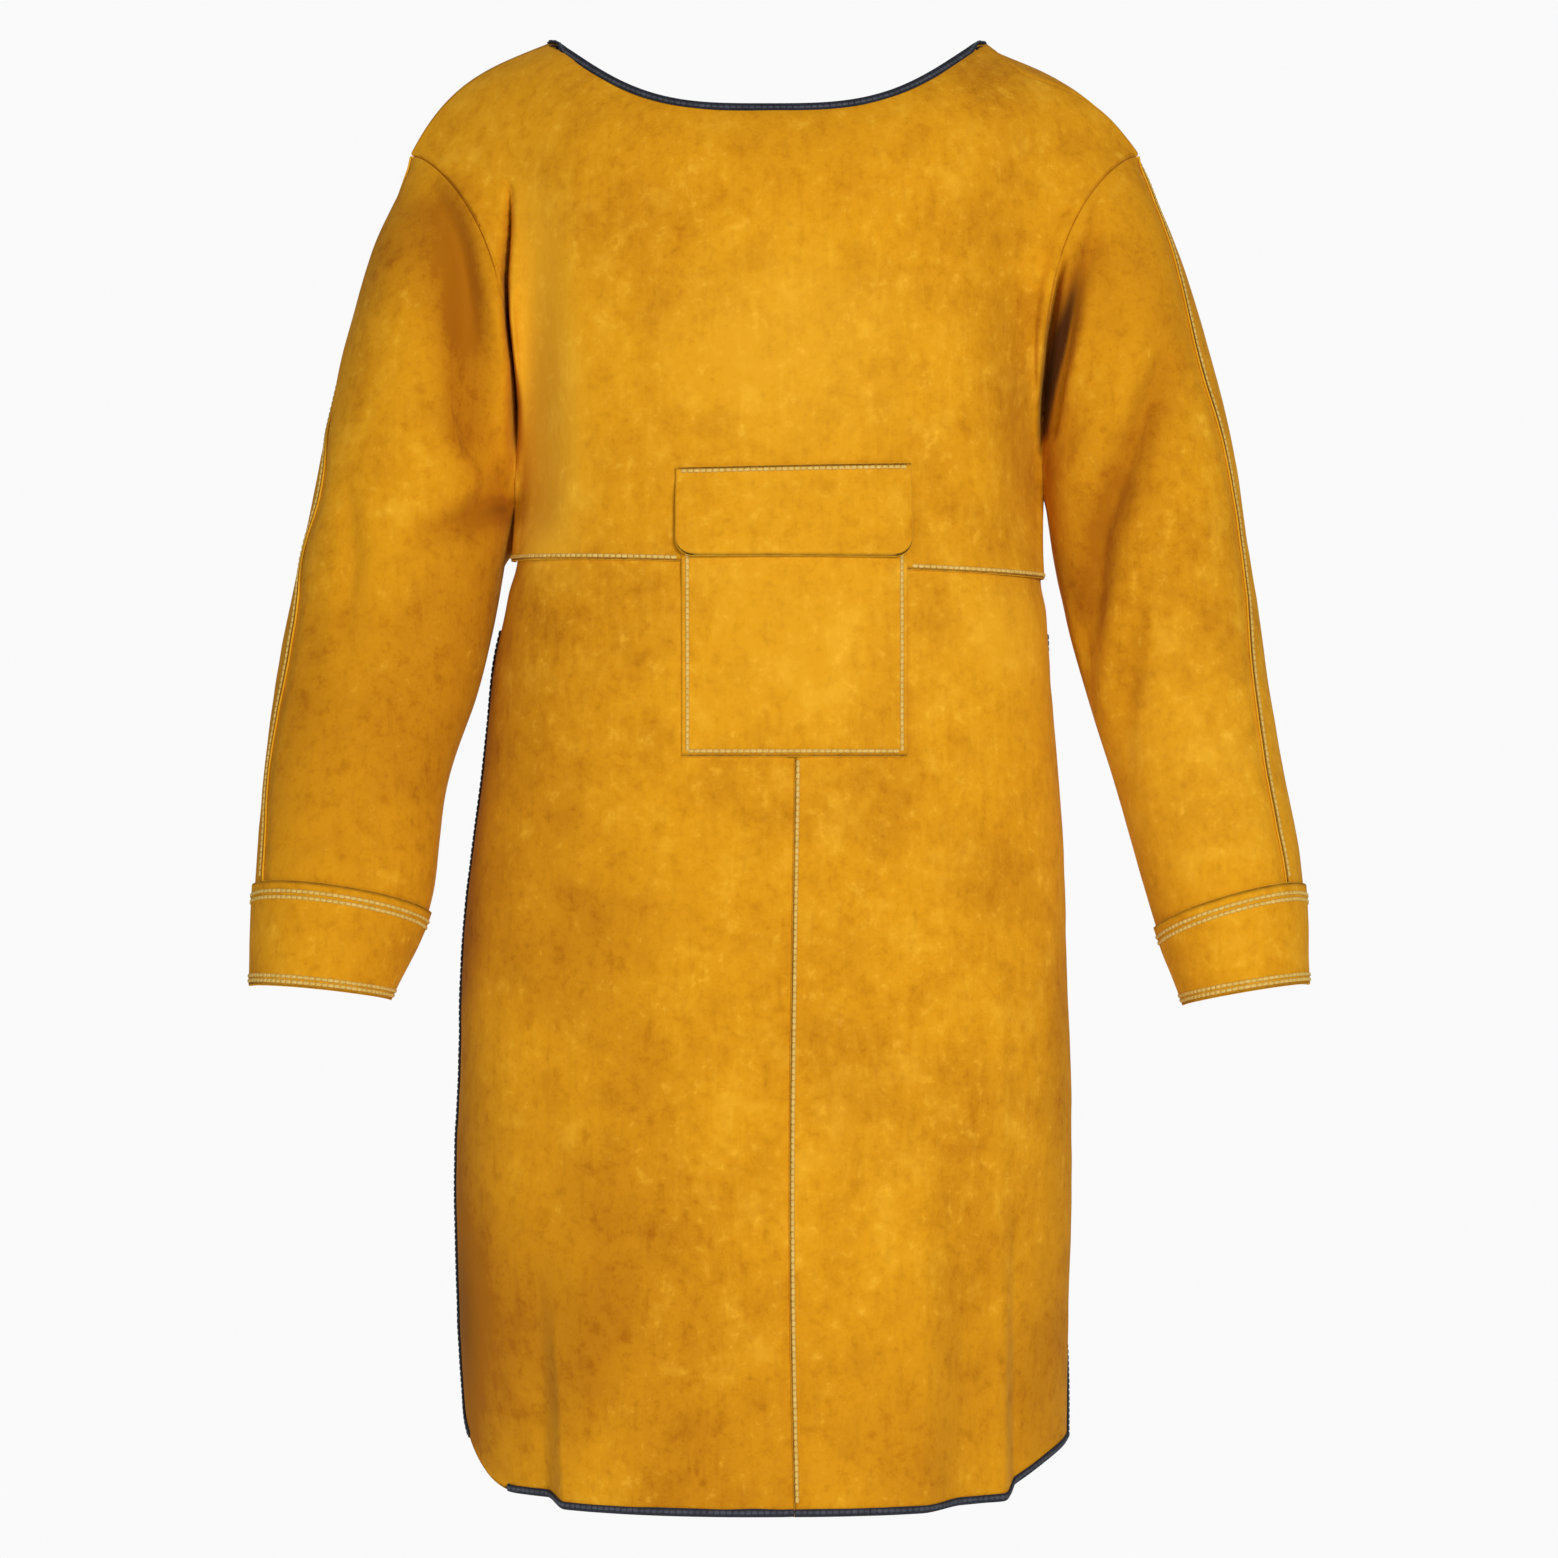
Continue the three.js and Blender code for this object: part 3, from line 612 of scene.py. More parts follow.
# Browner (below 0) or paler hide: painted shade in folds and painted light on ridges, painted shade and
# light in streaks, and spots of the hide's own tone mixed with painted shade and light
def tone_with_painted_shading(p, folds):
    # Painted shade in the folds and painted light on the ridges, by how deep they are
    tone = -PAINTED_FOLD_SHADING * fold_depth(p, folds)
    if folds:
        tone = tone - fold_depth(p, PAINTED_SHADING_STREAKS)
    for x, z, reach, amount in zip(*TONE_AND_SHADING_SPOTS.values()):
        away = np.hypot(p[..., 0] - x, p[..., 2] - z)
        tone = tone + amount * np.exp(-((away / reach) ** 2))
    return tone


# Leather on both sides of a grid, with a rounded cut edge
def add_leather(name, grid, inside, folds, closed=False):
    normals = outward_normals(grid, inside, closed)
    # Tone per point: the hide's own uneven tone, painted shade in folds and hollows, and painted light on
    # ridges
    tones = tone_with_painted_shading(grid, folds).ravel()
    half = LEATHER / 2
    flat = grid.reshape(-1, 3)
    ups = normals.reshape(-1, 3)
    count = len(flat)
    face = grid + normals * half
    blocks = [face.reshape(-1, 3), flat - ups * half]
    shades = [tones, tones]
    sheet = grid_quads(grid.shape, closed)
    quads = [sheet, sheet[:, ::-1] + count]
    total = 2 * count
    for ring in ring_indices(grid.shape, closed):
        edge = flat[ring]
        along = np.roll(edge, -1, axis=0) - np.roll(edge, 1, axis=0)
        out = unit(np.cross(along, ups[ring]))
        if np.sum(out * (edge - flat.mean(axis=0))) < 0:
            out = -out
        before = ring
        for angle in RIM_ANGLES:
            up = ups[ring] * half * RIM_HEIGHT * math.sin(angle)
            here = total + np.arange(len(ring))
            blocks.append(edge + up + out * half * RIM_REACH * math.cos(angle))
            shades.append(tones[ring] + EDGE_TONE)
            quads.append(band_quads(here, before))
            before = here
            total += len(ring)
        quads.append(band_quads(ring + count, before))
    tone = np.concatenate(shades)
    piece = add_mesh(name, np.concatenate(blocks), np.concatenate(quads), suede, tone=tone)
    return {"piece": piece, "grid": grid, "normals": normals, "face": face}


# Shader helpers
def set_input(tree, socket, value):
    if isinstance(value, bpy.types.NodeSocket):
        tree.links.new(value, socket)
    else:
        socket.default_value = value


def add_node(tree, kind, values=None, **settings):
    node = tree.nodes.new(kind)
    for key, value in settings.items():
        setattr(node, key, value)
    for key, value in (values or {}).items():
        set_input(tree, node.inputs[key], value)
    return node


GROUP_OUTPUTS = {"Color": "NodeSocketColor", "Roughness": "NodeSocketFloat", "Height": "NodeSocketFloat"}


def new_group(name, inputs):
    group = bpy.data.node_groups.new(name, "ShaderNodeTree")
    for socket, value in inputs.items():
        kind = "NodeSocketFloat" if isinstance(value, float) else "NodeSocketColor"
        made = group.interface.new_socket(name=socket, in_out="INPUT", socket_type=kind)
        made.default_value = value
    for socket, kind in GROUP_OUTPUTS.items():
        group.interface.new_socket(name=socket, in_out="OUTPUT", socket_type=kind)
    entry = group.nodes.new("NodeGroupInput")
    leave = group.nodes.new("NodeGroupOutput")
    return group, entry.outputs, leave.inputs


def new_material(name):
    material = bpy.data.materials.new(name)
    material.use_nodes = True
    tree = material.node_tree
    return material, tree, tree.nodes["Principled BSDF"]


# Sockets 6 and 7 of the mix are its colours, and its output 2 is the mixed colour
def mix_colour(tree, factor, first, second):
    values = {0: factor, 6: first, 7: second}
    return add_node(tree, "ShaderNodeMix", values, data_type="RGBA").outputs[2]


def place_of(tree):
    return add_node(tree, "ShaderNodeTexCoord").outputs["Object"]


def noise_value(tree, place, scale, detail, roughness=0.55):
    values = {"Vector": place, "Scale": scale, "Detail": detail, "Roughness": roughness}
    return add_node(tree, "ShaderNodeTexNoise", values).outputs["Fac"]


def remap(tree, value, low, high, to_low=0.0, to_high=1.0):
    values = {"Value": value, "From Min": low, "From Max": high, "To Min": to_low, "To Max": to_high}
    node = add_node(tree, "ShaderNodeMapRange", values, interpolation_type="SMOOTHSTEP")
    return node.outputs["Result"]


def math_value(tree, operation, first, second):
    return add_node(tree, "ShaderNodeMath", {0: first, 1: second}, operation=operation).outputs["Value"]


def total_value(tree, values):
    total = values[0]
    for value in values[1:]:
        total = math_value(tree, "ADD", total, value)
    return total


# Nap of the hide, from broad patches to grain: scale, detail and roughness of each noise
NAP = {
    "patches": (8, 2, 0.5),
    "blotches": (30, 3, 0.6),
    "mottle": (100, 4, 0.68),
    "streaks": (150, 3, 0.6),
    "grain": (420, 3, 0.6),
}
BRUSHED = (1.0, 1.0, 0.2)

# Where each noise starts and ends to colour the hide, and how strongly
BROWNER = {
    "patches": (0.4, 0.66, 0.3),
    "blotches": (0.46, 0.72, 0.22),
    "mottle": (0.48, 0.72, 0.3),
    "streaks": (0.5, 0.74, 0.16),
    "grain": (0.5, 0.7, 0.14),
}
PALER = {
    "blotches": (0.48, 0.26, 0.3),
    "mottle": (0.46, 0.26, 0.4),
    "streaks": (0.46, 0.28, 0.14),
}
NAP_HEIGHT = {"blotches": 0.7, "mottle": 0.6, "streaks": 0.2, "grain": 0.22}
# Tones between which the hide is painted towards near black: painted shadow where the streaks go deepest,
# in the hollows by the slits
PAINTED_SHADE_TONES = (-0.8, -1.8)


def napped_hide_group():
    group, entry, leave = new_group("napped_hide", {
        "Golden": (0.655, 0.285, 0.0055, 1),
        "Pale": (0.83, 0.45, 0.03, 1),
        "Brown": (0.37, 0.122, 0.0018, 1),
        "Deep": (0.06, 0.016, 0.002, 1),
        "Tone": 0.0,
    })
    place = place_of(group)
    stretch = {0: place, 1: BRUSHED}
    brushed = add_node(group, "ShaderNodeVectorMath", stretch, operation="MULTIPLY").outputs["Vector"]
    nap = {}
    for name, settings in NAP.items():
        nap[name] = noise_value(group, brushed if name == "streaks" else place, *settings)

    def shares(rows):
        return [remap(group, nap[name], low, high, 0.0, most) for name, (low, high, most) in rows.items()]

    tone = entry["Tone"]
    browner = total_value(group, shares(BROWNER) + [math_value(group, "MULTIPLY", tone, -1.0)])
    paler = total_value(group, shares(PALER) + [tone])
    colour = mix_colour(group, browner, entry["Golden"], entry["Brown"])
    colour = mix_colour(group, paler, colour, entry["Pale"])
    # Painted shade: below a tone of -0.8 the hide turns towards a near-black colour
    colour = mix_colour(group, remap(group, tone, *PAINTED_SHADE_TONES), colour, entry["Deep"])
    heights = [math_value(group, "MULTIPLY", nap[name], height) for name, height in NAP_HEIGHT.items()]
    group.links.new(colour, leave["Color"])
    group.links.new(remap(group, nap["mottle"], 0.3, 0.7, 0.82, 0.96), leave["Roughness"])
    group.links.new(total_value(group, heights), leave["Height"])
    return group


# Woven ribs along the diagonal of place, worn in patches, for tape and thread
def woven_group():
    group, entry, leave = new_group("woven", {
        "Dark": (0.01, 0.012, 0.018, 1),
        "Light": (0.04, 0.045, 0.06, 1),
        "Scale": 900.0,
    })
    place = place_of(group)
    values = {"Vector": place, "Scale": entry["Scale"], "Distortion": 1.2}
    ribs = add_node(group, "ShaderNodeTexWave", values, bands_direction="DIAGONAL").outputs["Fac"]
    worn = noise_value(group, place, 120, 4)
    mask = math_value(group, "MULTIPLY", ribs, remap(group, worn, 0.35, 0.7, 0.25, 1.0))
    group.links.new(mix_colour(group, mask, entry["Dark"], entry["Light"]), leave["Color"])
    group.links.new(remap(group, worn, 0.3, 0.7, 0.6, 0.85), leave["Roughness"])
    group.links.new(ribs, leave["Height"])
    return group


BUMP_STRENGTH = 0.5


# A material whose colour, roughness and bump come from a group; finish holds its plain values
def surface_material(name, group, inputs, bump_depth, finish):
    material, tree, shader = new_material(name)
    surface = add_node(tree, "ShaderNodeGroup", inputs, node_tree=group)
    values = {"Strength": BUMP_STRENGTH, "Distance": bump_depth, "Height": surface.outputs["Height"]}
    bump = add_node(tree, "ShaderNodeBump", values)
    tree.links.new(surface.outputs["Color"], shader.inputs["Base Color"])
    tree.links.new(surface.outputs["Roughness"], shader.inputs["Roughness"])
    tree.links.new(bump.outputs["Normal"], shader.inputs["Normal"])
    for key, value in finish.items():
        shader.inputs[key].default_value = value
    return material, tree, surface


def suede_material(name, hide):
    finish = {
        "Specular IOR Level": 0.1,
        "Sheen Weight": 0.08,
        "Sheen Roughness": 0.5,
        "Sheen Tint": (1.0, 0.66, 0.2, 1),
    }
    material, tree, nap = surface_material(name, hide, {}, 0.0016, finish)
    # The tone attribute holds the hide's own tone with painted shade and painted light
    tone = add_node(tree, "ShaderNodeAttribute", attribute_name="tone")
    tree.links.new(tone.outputs["Fac"], nap.inputs["Tone"])
    return material


def woven_material(name, weave, dark, light, scale, depth):
    inputs = {"Dark": dark, "Light": light, "Scale": scale}
    return surface_material(name, weave, inputs, depth, {"Specular IOR Level": 0.3})[0]


suede = suede_material("suede_golden", napped_hide_group())
weave = woven_group()
tape_cloth = woven_material(
    "tape_blue_black", weave, scale=700, depth=0.0003,
    dark=(0.006, 0.0075, 0.013, 1), light=(0.03, 0.034, 0.05, 1),
)
thread_pale = woven_material(
    "thread_pale", weave, scale=1200, depth=0.0002,
    dark=(0.62, 0.39, 0.07, 1), light=(0.83, 0.59, 0.19, 1),
)
thread_dark = woven_material(
    "thread_grey", weave, scale=1200, depth=0.0002,
    dark=(0.025, 0.028, 0.04, 1), light=(0.11, 0.12, 0.15, 1),
)

# Bib and back yoke
CELL = 4.2
FINE_CELL = 1.6
BESIDE_ARMHOLE = 0.1
CHEST_ROW = 10.0

# Lines of the grids from the ridge to the waist, and how far they are smoothed
SHOULDER_LINES = 36
ARMHOLE_LINES = 49
WAIST_LINES = 15
SMOOTH_PASSES = 6
SMOOTH_FADE = 8

# Rows of the chest and of the back, and points inside the apron
UPPER_ROWS = np.concatenate([
    np.linspace(0, SHOULDER_ROWS, SHOULDER_LINES)[:-1],
    np.linspace(SHOULDER_ROWS, ARMHOLE_ROWS, ARMHOLE_LINES),
])
CHEST_INSIDE = np.array([0.0, 0.0, -250.0])
SKIRT_INSIDE = np.array([0.0, 0.0, -700.0])
SEAM_FADE = 6


def chest_line(s):
    return upper_point(s, np.full_like(s, CHEST_ROW), -1, UNDERARM_Z)


# Columns across a panel, by runs between stops with a cell size each
def columns_between(line, stops, cells):
    runs = [even_steps(line, *stops[k:k + 2], cell)[:-1] for k, cell in enumerate(cells)]
    return np.append(np.concatenate(runs), stops[-1])


UPPER_COLUMNS = columns_between(
    chest_line,
    (0, BESIDE_ARMHOLE, NECK_RIGHT, NECK_LEFT, 1 - BESIDE_ARMHOLE, 1),
    (FINE_CELL, CELL, CELL, CELL, FINE_CELL),
)
ON_SHOULDER = ((UPPER_COLUMNS <= NECK_RIGHT) | (UPPER_COLUMNS >= NECK_LEFT)).astype(float)


def front_rise(p):
    return relief(p) - fold_depth(p, FRONT_FOLDS)


def bib_grid():
    s, row = np.meshgrid(UPPER_COLUMNS, UPPER_ROWS)
    upper = upper_point(s, row, -1, UNDERARM_Z)
    drop = np.linspace(0, 1, WAIST_LINES)[1:, None]
    across = UPPER_COLUMNS[None, :]
    lower = front_point(across, lerp(UNDERARM_Z, waist_z(across), drop))
    step = upper[-1] - front_point(UPPER_COLUMNS, np.full_like(UPPER_COLUMNS, UNDERARM_Z))
    lower = lower + step * (1 - smoothstep(drop, 0, 1))[..., None]
    grid = np.concatenate([upper, lower])
    plain = smoothstep(np.arange(len(grid)), len(upper), len(upper) + SMOOTH_FADE)[:, None, None]
    return lerp(smooth(grid, SMOOTH_PASSES), grid, plain)


def yoke_grid():
    s, row = np.meshgrid(UPPER_COLUMNS, UPPER_ROWS)
    return smooth(upper_point(s, row, 1, YOKE_BOTTOM_Z), SMOOTH_PASSES)


# Sleeve panels run from the outer seam to the inner seam; the front one begins under the back one
FINE_END = 0.075
SLEEVE_ALONG = np.concatenate([
    np.linspace(0, FINE_END, 30)[:-1],
    np.linspace(FINE_END, CUFF_TOP, 112),
    [SLEEVE_END],
])
SLEEVE_TURN = UPPER_ROWS / ARMHOLE_ROWS
LAP_COLUMNS = 4
LAP_ANGLE = math.pi / ARMHOLE_ROWS
LAP_START = 0.016

# Shares of the turn round the sleeve, from the lap: where the creases start, and where the sheet rises
CREASE_START = (0.05, 0.2)
LAP_RISE = (0.012, 0.075)

# Behind the bib's edge the right sleeve is tucked towards the body: where round it, and where along it
TUCK_ROUND = {"rise": (0.6, 0.85), "fall": (0.9, 0.995)}
TUCK_ALONG = {"rise": (0, 0.06), "fall": (0.22, 0.36)}


def sleeve_axis(sleeve):
    along = SLEEVE_ALONG[:, None]
    x = (look(sleeve, "outer_x", along) + look(sleeve, "inner_x", along)) / 2
    z = (look(sleeve, "outer_z", along) + look(sleeve, "inner_z", along)) / 2
    return points(x, look(sleeve, "middle", along), z)


def sleeve_front_grid(sleeve, outer_seam):
    along = SLEEVE_ALONG[:, None]
    seam = look(outer_seam, "angle", along)
    lap = np.linspace(1, 0, LAP_COLUMNS + 1)[None, :-1]
    under = sleeve_point(sleeve, lerp(LAP_START, 1, along), seam - lap * LAP_ANGLE)
    main = sleeve_point(sleeve, along, lerp(seam, math.pi, SLEEVE_TURN[None, :]))
    return np.concatenate([under, main], axis=1)


def sleeve_back_grid(sleeve, outer_seam, tuck):
    along = SLEEVE_ALONG[:, None]
    angle = lerp(look(outer_seam, "angle", along), -math.pi, SLEEVE_TURN[None, :])
    aside = tuck * plateau(-angle / math.pi, **TUCK_ROUND) * plateau(along, **TUCK_ALONG)
    return sleeve_point(sleeve, along, angle) + points(aside, 0, 0)


# The bib is puffed along the armholes, below the shoulder tips, where the seam allowances lie under it
PUFF = 1.5
PUFF_ROWS = (4, 20)
PUFF_COLUMNS = {"rise": (0, 3), "fall": (3, 11)}


def seam_puff(shape):
    rows = np.arange(shape[0])[:, None]
    columns = np.arange(shape[1])[None, :]
    beside = np.minimum(columns, shape[1] - 1 - columns)
    return PUFF * smoothstep(rows, *PUFF_ROWS) * plateau(beside, **PUFF_COLUMNS)


EXTRA = len(TURN["away"]) - 1
bib_flat = bib_grid()
yoke_flat = yoke_grid()
bib_normals = outward_normals(bib_flat, CHEST_INSIDE)
yoke_normals = outward_normals(yoke_flat, CHEST_INSIDE)
bib_fade = border_fade(bib_flat.shape, SEAM_FADE, ("top", "start", "end"))
yoke_fade = border_fade(yoke_flat.shape, SEAM_FADE, ("top", "start", "end"))
bib_shape = raised(bib_flat, bib_normals, front_rise(bib_flat) * bib_fade + seam_puff(bib_flat.shape))
yoke_shape = raised(yoke_flat, yoke_normals, relief(yoke_flat) * yoke_fade)
armhole_rows = len(UPPER_ROWS)
below_armhole = len(bib_flat) - armhole_rows

sleeves = {}
for name, sleeve, outer_seam, side, tuck in (
    ("right", RIGHT_SLEEVE, RIGHT_SEAM, "start", 16.0),
    ("left", LEFT_SLEEVE, LEFT_SEAM, "end", 0.0),
):
    inside = sleeve_axis(sleeve)
    front = sleeve_front_grid(sleeve, outer_seam)
    back = sleeve_back_grid(sleeve, outer_seam, tuck)
    front_normals = outward_normals(front, inside)
    back_normals = outward_normals(back, inside)

    front_fade = border_fade(front.shape, SEAM_FADE, ("top", "end"))
    away_from_lap = np.concatenate([np.zeros(LAP_COLUMNS), smoothstep(SLEEVE_TURN, *CREASE_START)])
    crease_fade = border_fade(front.shape, 2 * SEAM_FADE, ("top", "end")) * away_from_lap
    under_lap = np.concatenate([np.ones(LAP_COLUMNS), 1 - smoothstep(SLEEVE_TURN, *LAP_RISE)])
    height = relief(front) * front_fade - fold_depth(front, SLEEVE_FOLDS) * crease_fade
    front_shape = raised(front, front_normals, height - LAYER * under_lap)
    back_fade = border_fade(back.shape, SEAM_FADE, ("top", "end"))
    back_shape = raised(back, back_normals, relief(back) * back_fade)

    # Front armhole
    main = front[:, LAP_COLUMNS:]
    main_normals = front_normals[:, LAP_COLUMNS:]
    chest = bib_flat[:armhole_rows]
    across, inward = seam_directions(chest, bib_normals[:armhole_rows], side, main, main_normals, "top")
    bib_shape = turned(bib_shape, side, across, inward, pad=(0, below_armhole))
    front_shape = turned(front_shape, "top", -across, inward, pad=(LAP_COLUMNS, 0))

    # Back armhole
    across, inward = seam_directions(yoke_flat, yoke_normals, side, back, back_normals, "top")
    yoke_shape = turned(yoke_shape, side, across, inward)
    back_shape = turned(back_shape, "top", -across, inward)

    # Inner seam
    across, inward = seam_directions(front, front_normals, "end", back, back_normals, "end")
    front_shape = turned(front_shape, "end", across, inward, pad=(EXTRA, 0))
    back_shape = turned(back_shape, "end", -across, inward, pad=(EXTRA, 0))
    inside = padded(inside, EXTRA, 0)
    sleeves[name] = {
        "sleeve": sleeve,
        "front": add_leather(f"sleeve_front_{name}_hide", slit(front_shape), inside, SLEEVE_FOLDS),
        "back": add_leather(f"sleeve_back_{name}_hide", back_shape, inside, []),
    }

# Shoulder seams; the neckline between them is a free edge
across, inward = seam_directions(bib_flat, bib_normals, "top", yoke_flat, yoke_normals, "top")
on_seam = ON_SHOULDER[:, None]
bib_across = across * on_seam + into_panel(bib_flat, "top") * (1 - on_seam)
yoke_across = -across * on_seam + into_panel(yoke_flat, "top") * (1 - on_seam)
bib_shape = turned(bib_shape, "top", bib_across, inward, ON_SHOULDER, pad=(EXTRA, EXTRA))
yoke_shape = turned(yoke_shape, "top", yoke_across, inward, ON_SHOULDER, pad=(EXTRA, EXTRA))
bib = add_leather("bib_hide", slit(bib_shape), CHEST_INSIDE, FRONT_FOLDS)
yoke = add_leather("back_yoke_hide", yoke_shape, CHEST_INSIDE, [])

# Skirt: the left panel laps over the right one at the centre seam, and the bib over both
CENTRE_LAP = 0.03
HEM_CLEARANCE = 11.0
SIDE_CURL = 5.0
CURL_WIDTH = 18.0
CURL_HEIGHT = {"rise": (-1000, -900), "fall": (-520, -400)}
SIDE_SINK = 1.2
SKIRT_ROWS = 160
SKIRT_MIDDLE_Z = -800.0

# Shares of the width from the centre seam: where the under panel sinks, and where its hem steps up
SEAM_SINK = (-0.022, -0.003)
HEM_STEP = (0.002, 0.014)

# Shares of the width from the middle, where the top edge is cut lower beside the armholes
TOP_CUT = (0.36, 0.46)
TOP_CUT_SHARE = 0.6

# Heights below the waist seam between which the skirt comes out from under the bib
UNDER_BIB = (2, 26)


def hem_z(s):
    right = BODY["right"][0]
    left = BODY["left"][0]
    x = lerp(right, left, s)
    right_corner = np.maximum(1 - (x - right) / HEM_CORNER["right"]["width"], 0)
    left_corner = np.maximum(1 - (left - x) / HEM_CORNER["left"]["width"], 0)
    bottom = HEM_Z + HEM_CORNER["right"]["height"] * (1 - np.sqrt(1 - right_corner ** 2))
    bottom = bottom + HEM_CORNER["left"]["height"] * left_corner
    for share, towards, _, width, _, rise in zip(*HEM_FOLDS.values()):
        bottom = bottom + rise * past_fold(s, share, towards, width)
    return bottom


def skirt_line(s):
    return front_point(s, np.full_like(s, SKIRT_MIDDLE_Z))


# Columns of a skirt panel, finer across the sharp folds
def skirt_columns(start, end):
    stops = [start]
    cells = []
    for share, width in zip(HEM_FOLDS["share"], HEM_FOLDS["width"]):
        if start < share < end:
            stops += [share - width, share + width]
            cells += [CELL, FINE_CELL]
    return columns_between(skirt_line, stops + [end], cells + [CELL])


def skirt_panel(name, start, end, lapped):
    s, down = np.meshgrid(skirt_columns(start, end), np.linspace(0, 1, SKIRT_ROWS))
    bottom = hem_z(s)
    under_lap = np.zeros_like(s)
    if lapped:
        bottom = bottom + HEM_CLEARANCE * smoothstep(s - CENTRE_SEAM, *HEM_STEP)
        under_lap = smoothstep(s - CENTRE_SEAM, *SEAM_SINK)
    beside_armhole = smoothstep(np.abs(s - 0.5), *TOP_CUT)
    z = lerp(waist_z(s) + LAP * (1 - TOP_CUT_SHARE * beside_armhole), bottom, down)
    grid = front_point(s, z)
    if not lapped:
        beside = CELL * np.arange(s.shape[1])[::-1]
        curled = (1 - smoothstep(beside, 0, CURL_WIDTH)) * plateau(z, **CURL_HEIGHT)
        grid = grid - points(SIDE_CURL * curled, 0, 0)
    normals = outward_normals(grid, SKIRT_INSIDE)
    under_bib = 1 - smoothstep(waist_z(s) - z, *UNDER_BIB)
    sunk = LAYER * (under_bib + under_lap) + SIDE_SINK * under_bib * beside_armhole
    shape = raised(grid, normals, front_rise(grid) - sunk)
    panel = add_leather(name, shape, SKIRT_INSIDE, FRONT_FOLDS)
    panel["across"] = s[0]
    return panel


skirt_right = skirt_panel("skirt_right_hide", 0, CENTRE_SEAM + CENTRE_LAP, True)
skirt_left = skirt_panel("skirt_left_hide", CENTRE_SEAM, 1, False)


# Patch pocket and its flap; the centre seam shows through the pocket
CENTRE_SEAM_X = 14.0
POCKET_FULLNESS = {"height": 1.2, "fade": (4, 60)}
SEAM_THROUGH = {"height": 0.7, "width": 5.0, "fade": (0, 20)}
FLAP_STEP = {"height": 1.0, "fade": (5, 22)}
FLAP_LIFT = {"height": 1.3, "fade": (20, 62)}


def patch_panel(name, outline, rows, columns, lift):
    ease = (1 - np.cos(math.pi * np.linspace(0, 1, columns + 1))) / 2
    x, down = np.meshgrid(lerp(outline["right"], outline["left"], ease), np.linspace(0, 1, rows + 1))
    bend = np.zeros_like(x)
    if outline["corner"]:
        away = np.minimum(x - outline["right"], outline["left"] - x)
        bend = np.maximum(1 - away / outline["corner"], 0)
    bottom = outline["bottom"] + outline["corner"] * (1 - np.sqrt(1 - bend ** 2))
    share = (x - outline["right"]) / (outline["left"] - outline["right"])
    z = lerp(outline["top"] + outline["rise"] * share, bottom, down)
    grid = front_point(front_place(x, z), z)
    normals = outward_normals(grid, SKIRT_INSIDE)
    shape = raised(grid, normals, front_rise(grid) + lift(x, z))
    return add_leather(name, shape, SKIRT_INSIDE, FRONT_FOLDS)


def pocket_lift(x, z):
    inwards = np.minimum(np.minimum(x - POCKET["right"], POCKET["left"] - x), z - POCKET["bottom"])
    full = POCKET_FULLNESS["height"] * smoothstep(inwards, *POCKET_FULLNESS["fade"])
    over_seam = np.exp(-(((x - CENTRE_SEAM_X) / SEAM_THROUGH["width"]) ** 2))
    below_waist = smoothstep(WAIST_Z["left"] - z, *SEAM_THROUGH["fade"])
    return LAYER + full + SEAM_THROUGH["height"] * over_seam * below_waist


def flap_lift(x, z):
    down = FLAP["top"] - z
    over_pocket = smoothstep(down, *FLAP_STEP["fade"])
    free = FLAP_LIFT["height"] * smoothstep(down, *FLAP_LIFT["fade"])
    return lerp(LAYER, 2 * LAYER + FLAP_STEP["height"], over_pocket) + free


pocket = patch_panel("pocket_hide", POCKET, rows=52, columns=50, lift=pocket_lift)
flap = patch_panel("pocket_flap_hide", FLAP, rows=20, columns=56, lift=flap_lift)

# Cuffs: closed bands over the sleeve ends
CUFF_ROWS = 20
CUFF_COLUMNS = 112
for name, parts in sleeves.items():
    sleeve = parts["sleeve"]
    along = np.linspace(CUFF_TOP, 1, CUFF_ROWS)[:, None]
    round_turn = np.linspace(0, 2 * math.pi, CUFF_COLUMNS + 1)[None, :-1]
    angle = np.where(round_turn < math.pi, round_turn, round_turn - 2 * math.pi)
    ring = sleeve_point(sleeve, along, angle)
    centre = ring.mean(axis=1, keepdims=True)
    ring_normals = outward_normals(ring, centre, closed=True)
    shape = raised(ring, ring_normals, relief(ring) + LAYER + CUFF_GAP)
    parts["cuff"] = add_leather(f"cuff_{name}_hide", shape, centre, [], closed=True)

# Tape folded over an edge: half the height of its hollow and of its outside, and its uneven inner edge
TAPE_INSIDE = LEATHER / 2 + 0.3
TAPE_OUTSIDE = TAPE_INSIDE + 0.8
TAPE_STEP = 3.0
TAPE_SWAY = 0.35
SWAY_SIZE = 22.0
SWAY_SHIFT = 500.0
TAPE_SHARP = 60.0


def tape_section(depth):
    over = [
        (depth, TAPE_OUTSIDE - 0.25), (depth * 0.85, TAPE_OUTSIDE), (depth * 0.3, TAPE_OUTSIDE + 0.15),
        (-0.2, TAPE_OUTSIDE), (-1.1, TAPE_OUTSIDE * 0.62), (-1.45, 0),
    ]
    under = [(into, -up) for into, up in over[-2::-1]]
    hollow = [(depth, -TAPE_INSIDE), (-0.45, -TAPE_INSIDE), (-0.45, TAPE_INSIDE), (depth, TAPE_INSIDE)]
    return np.array(over + under + hollow)


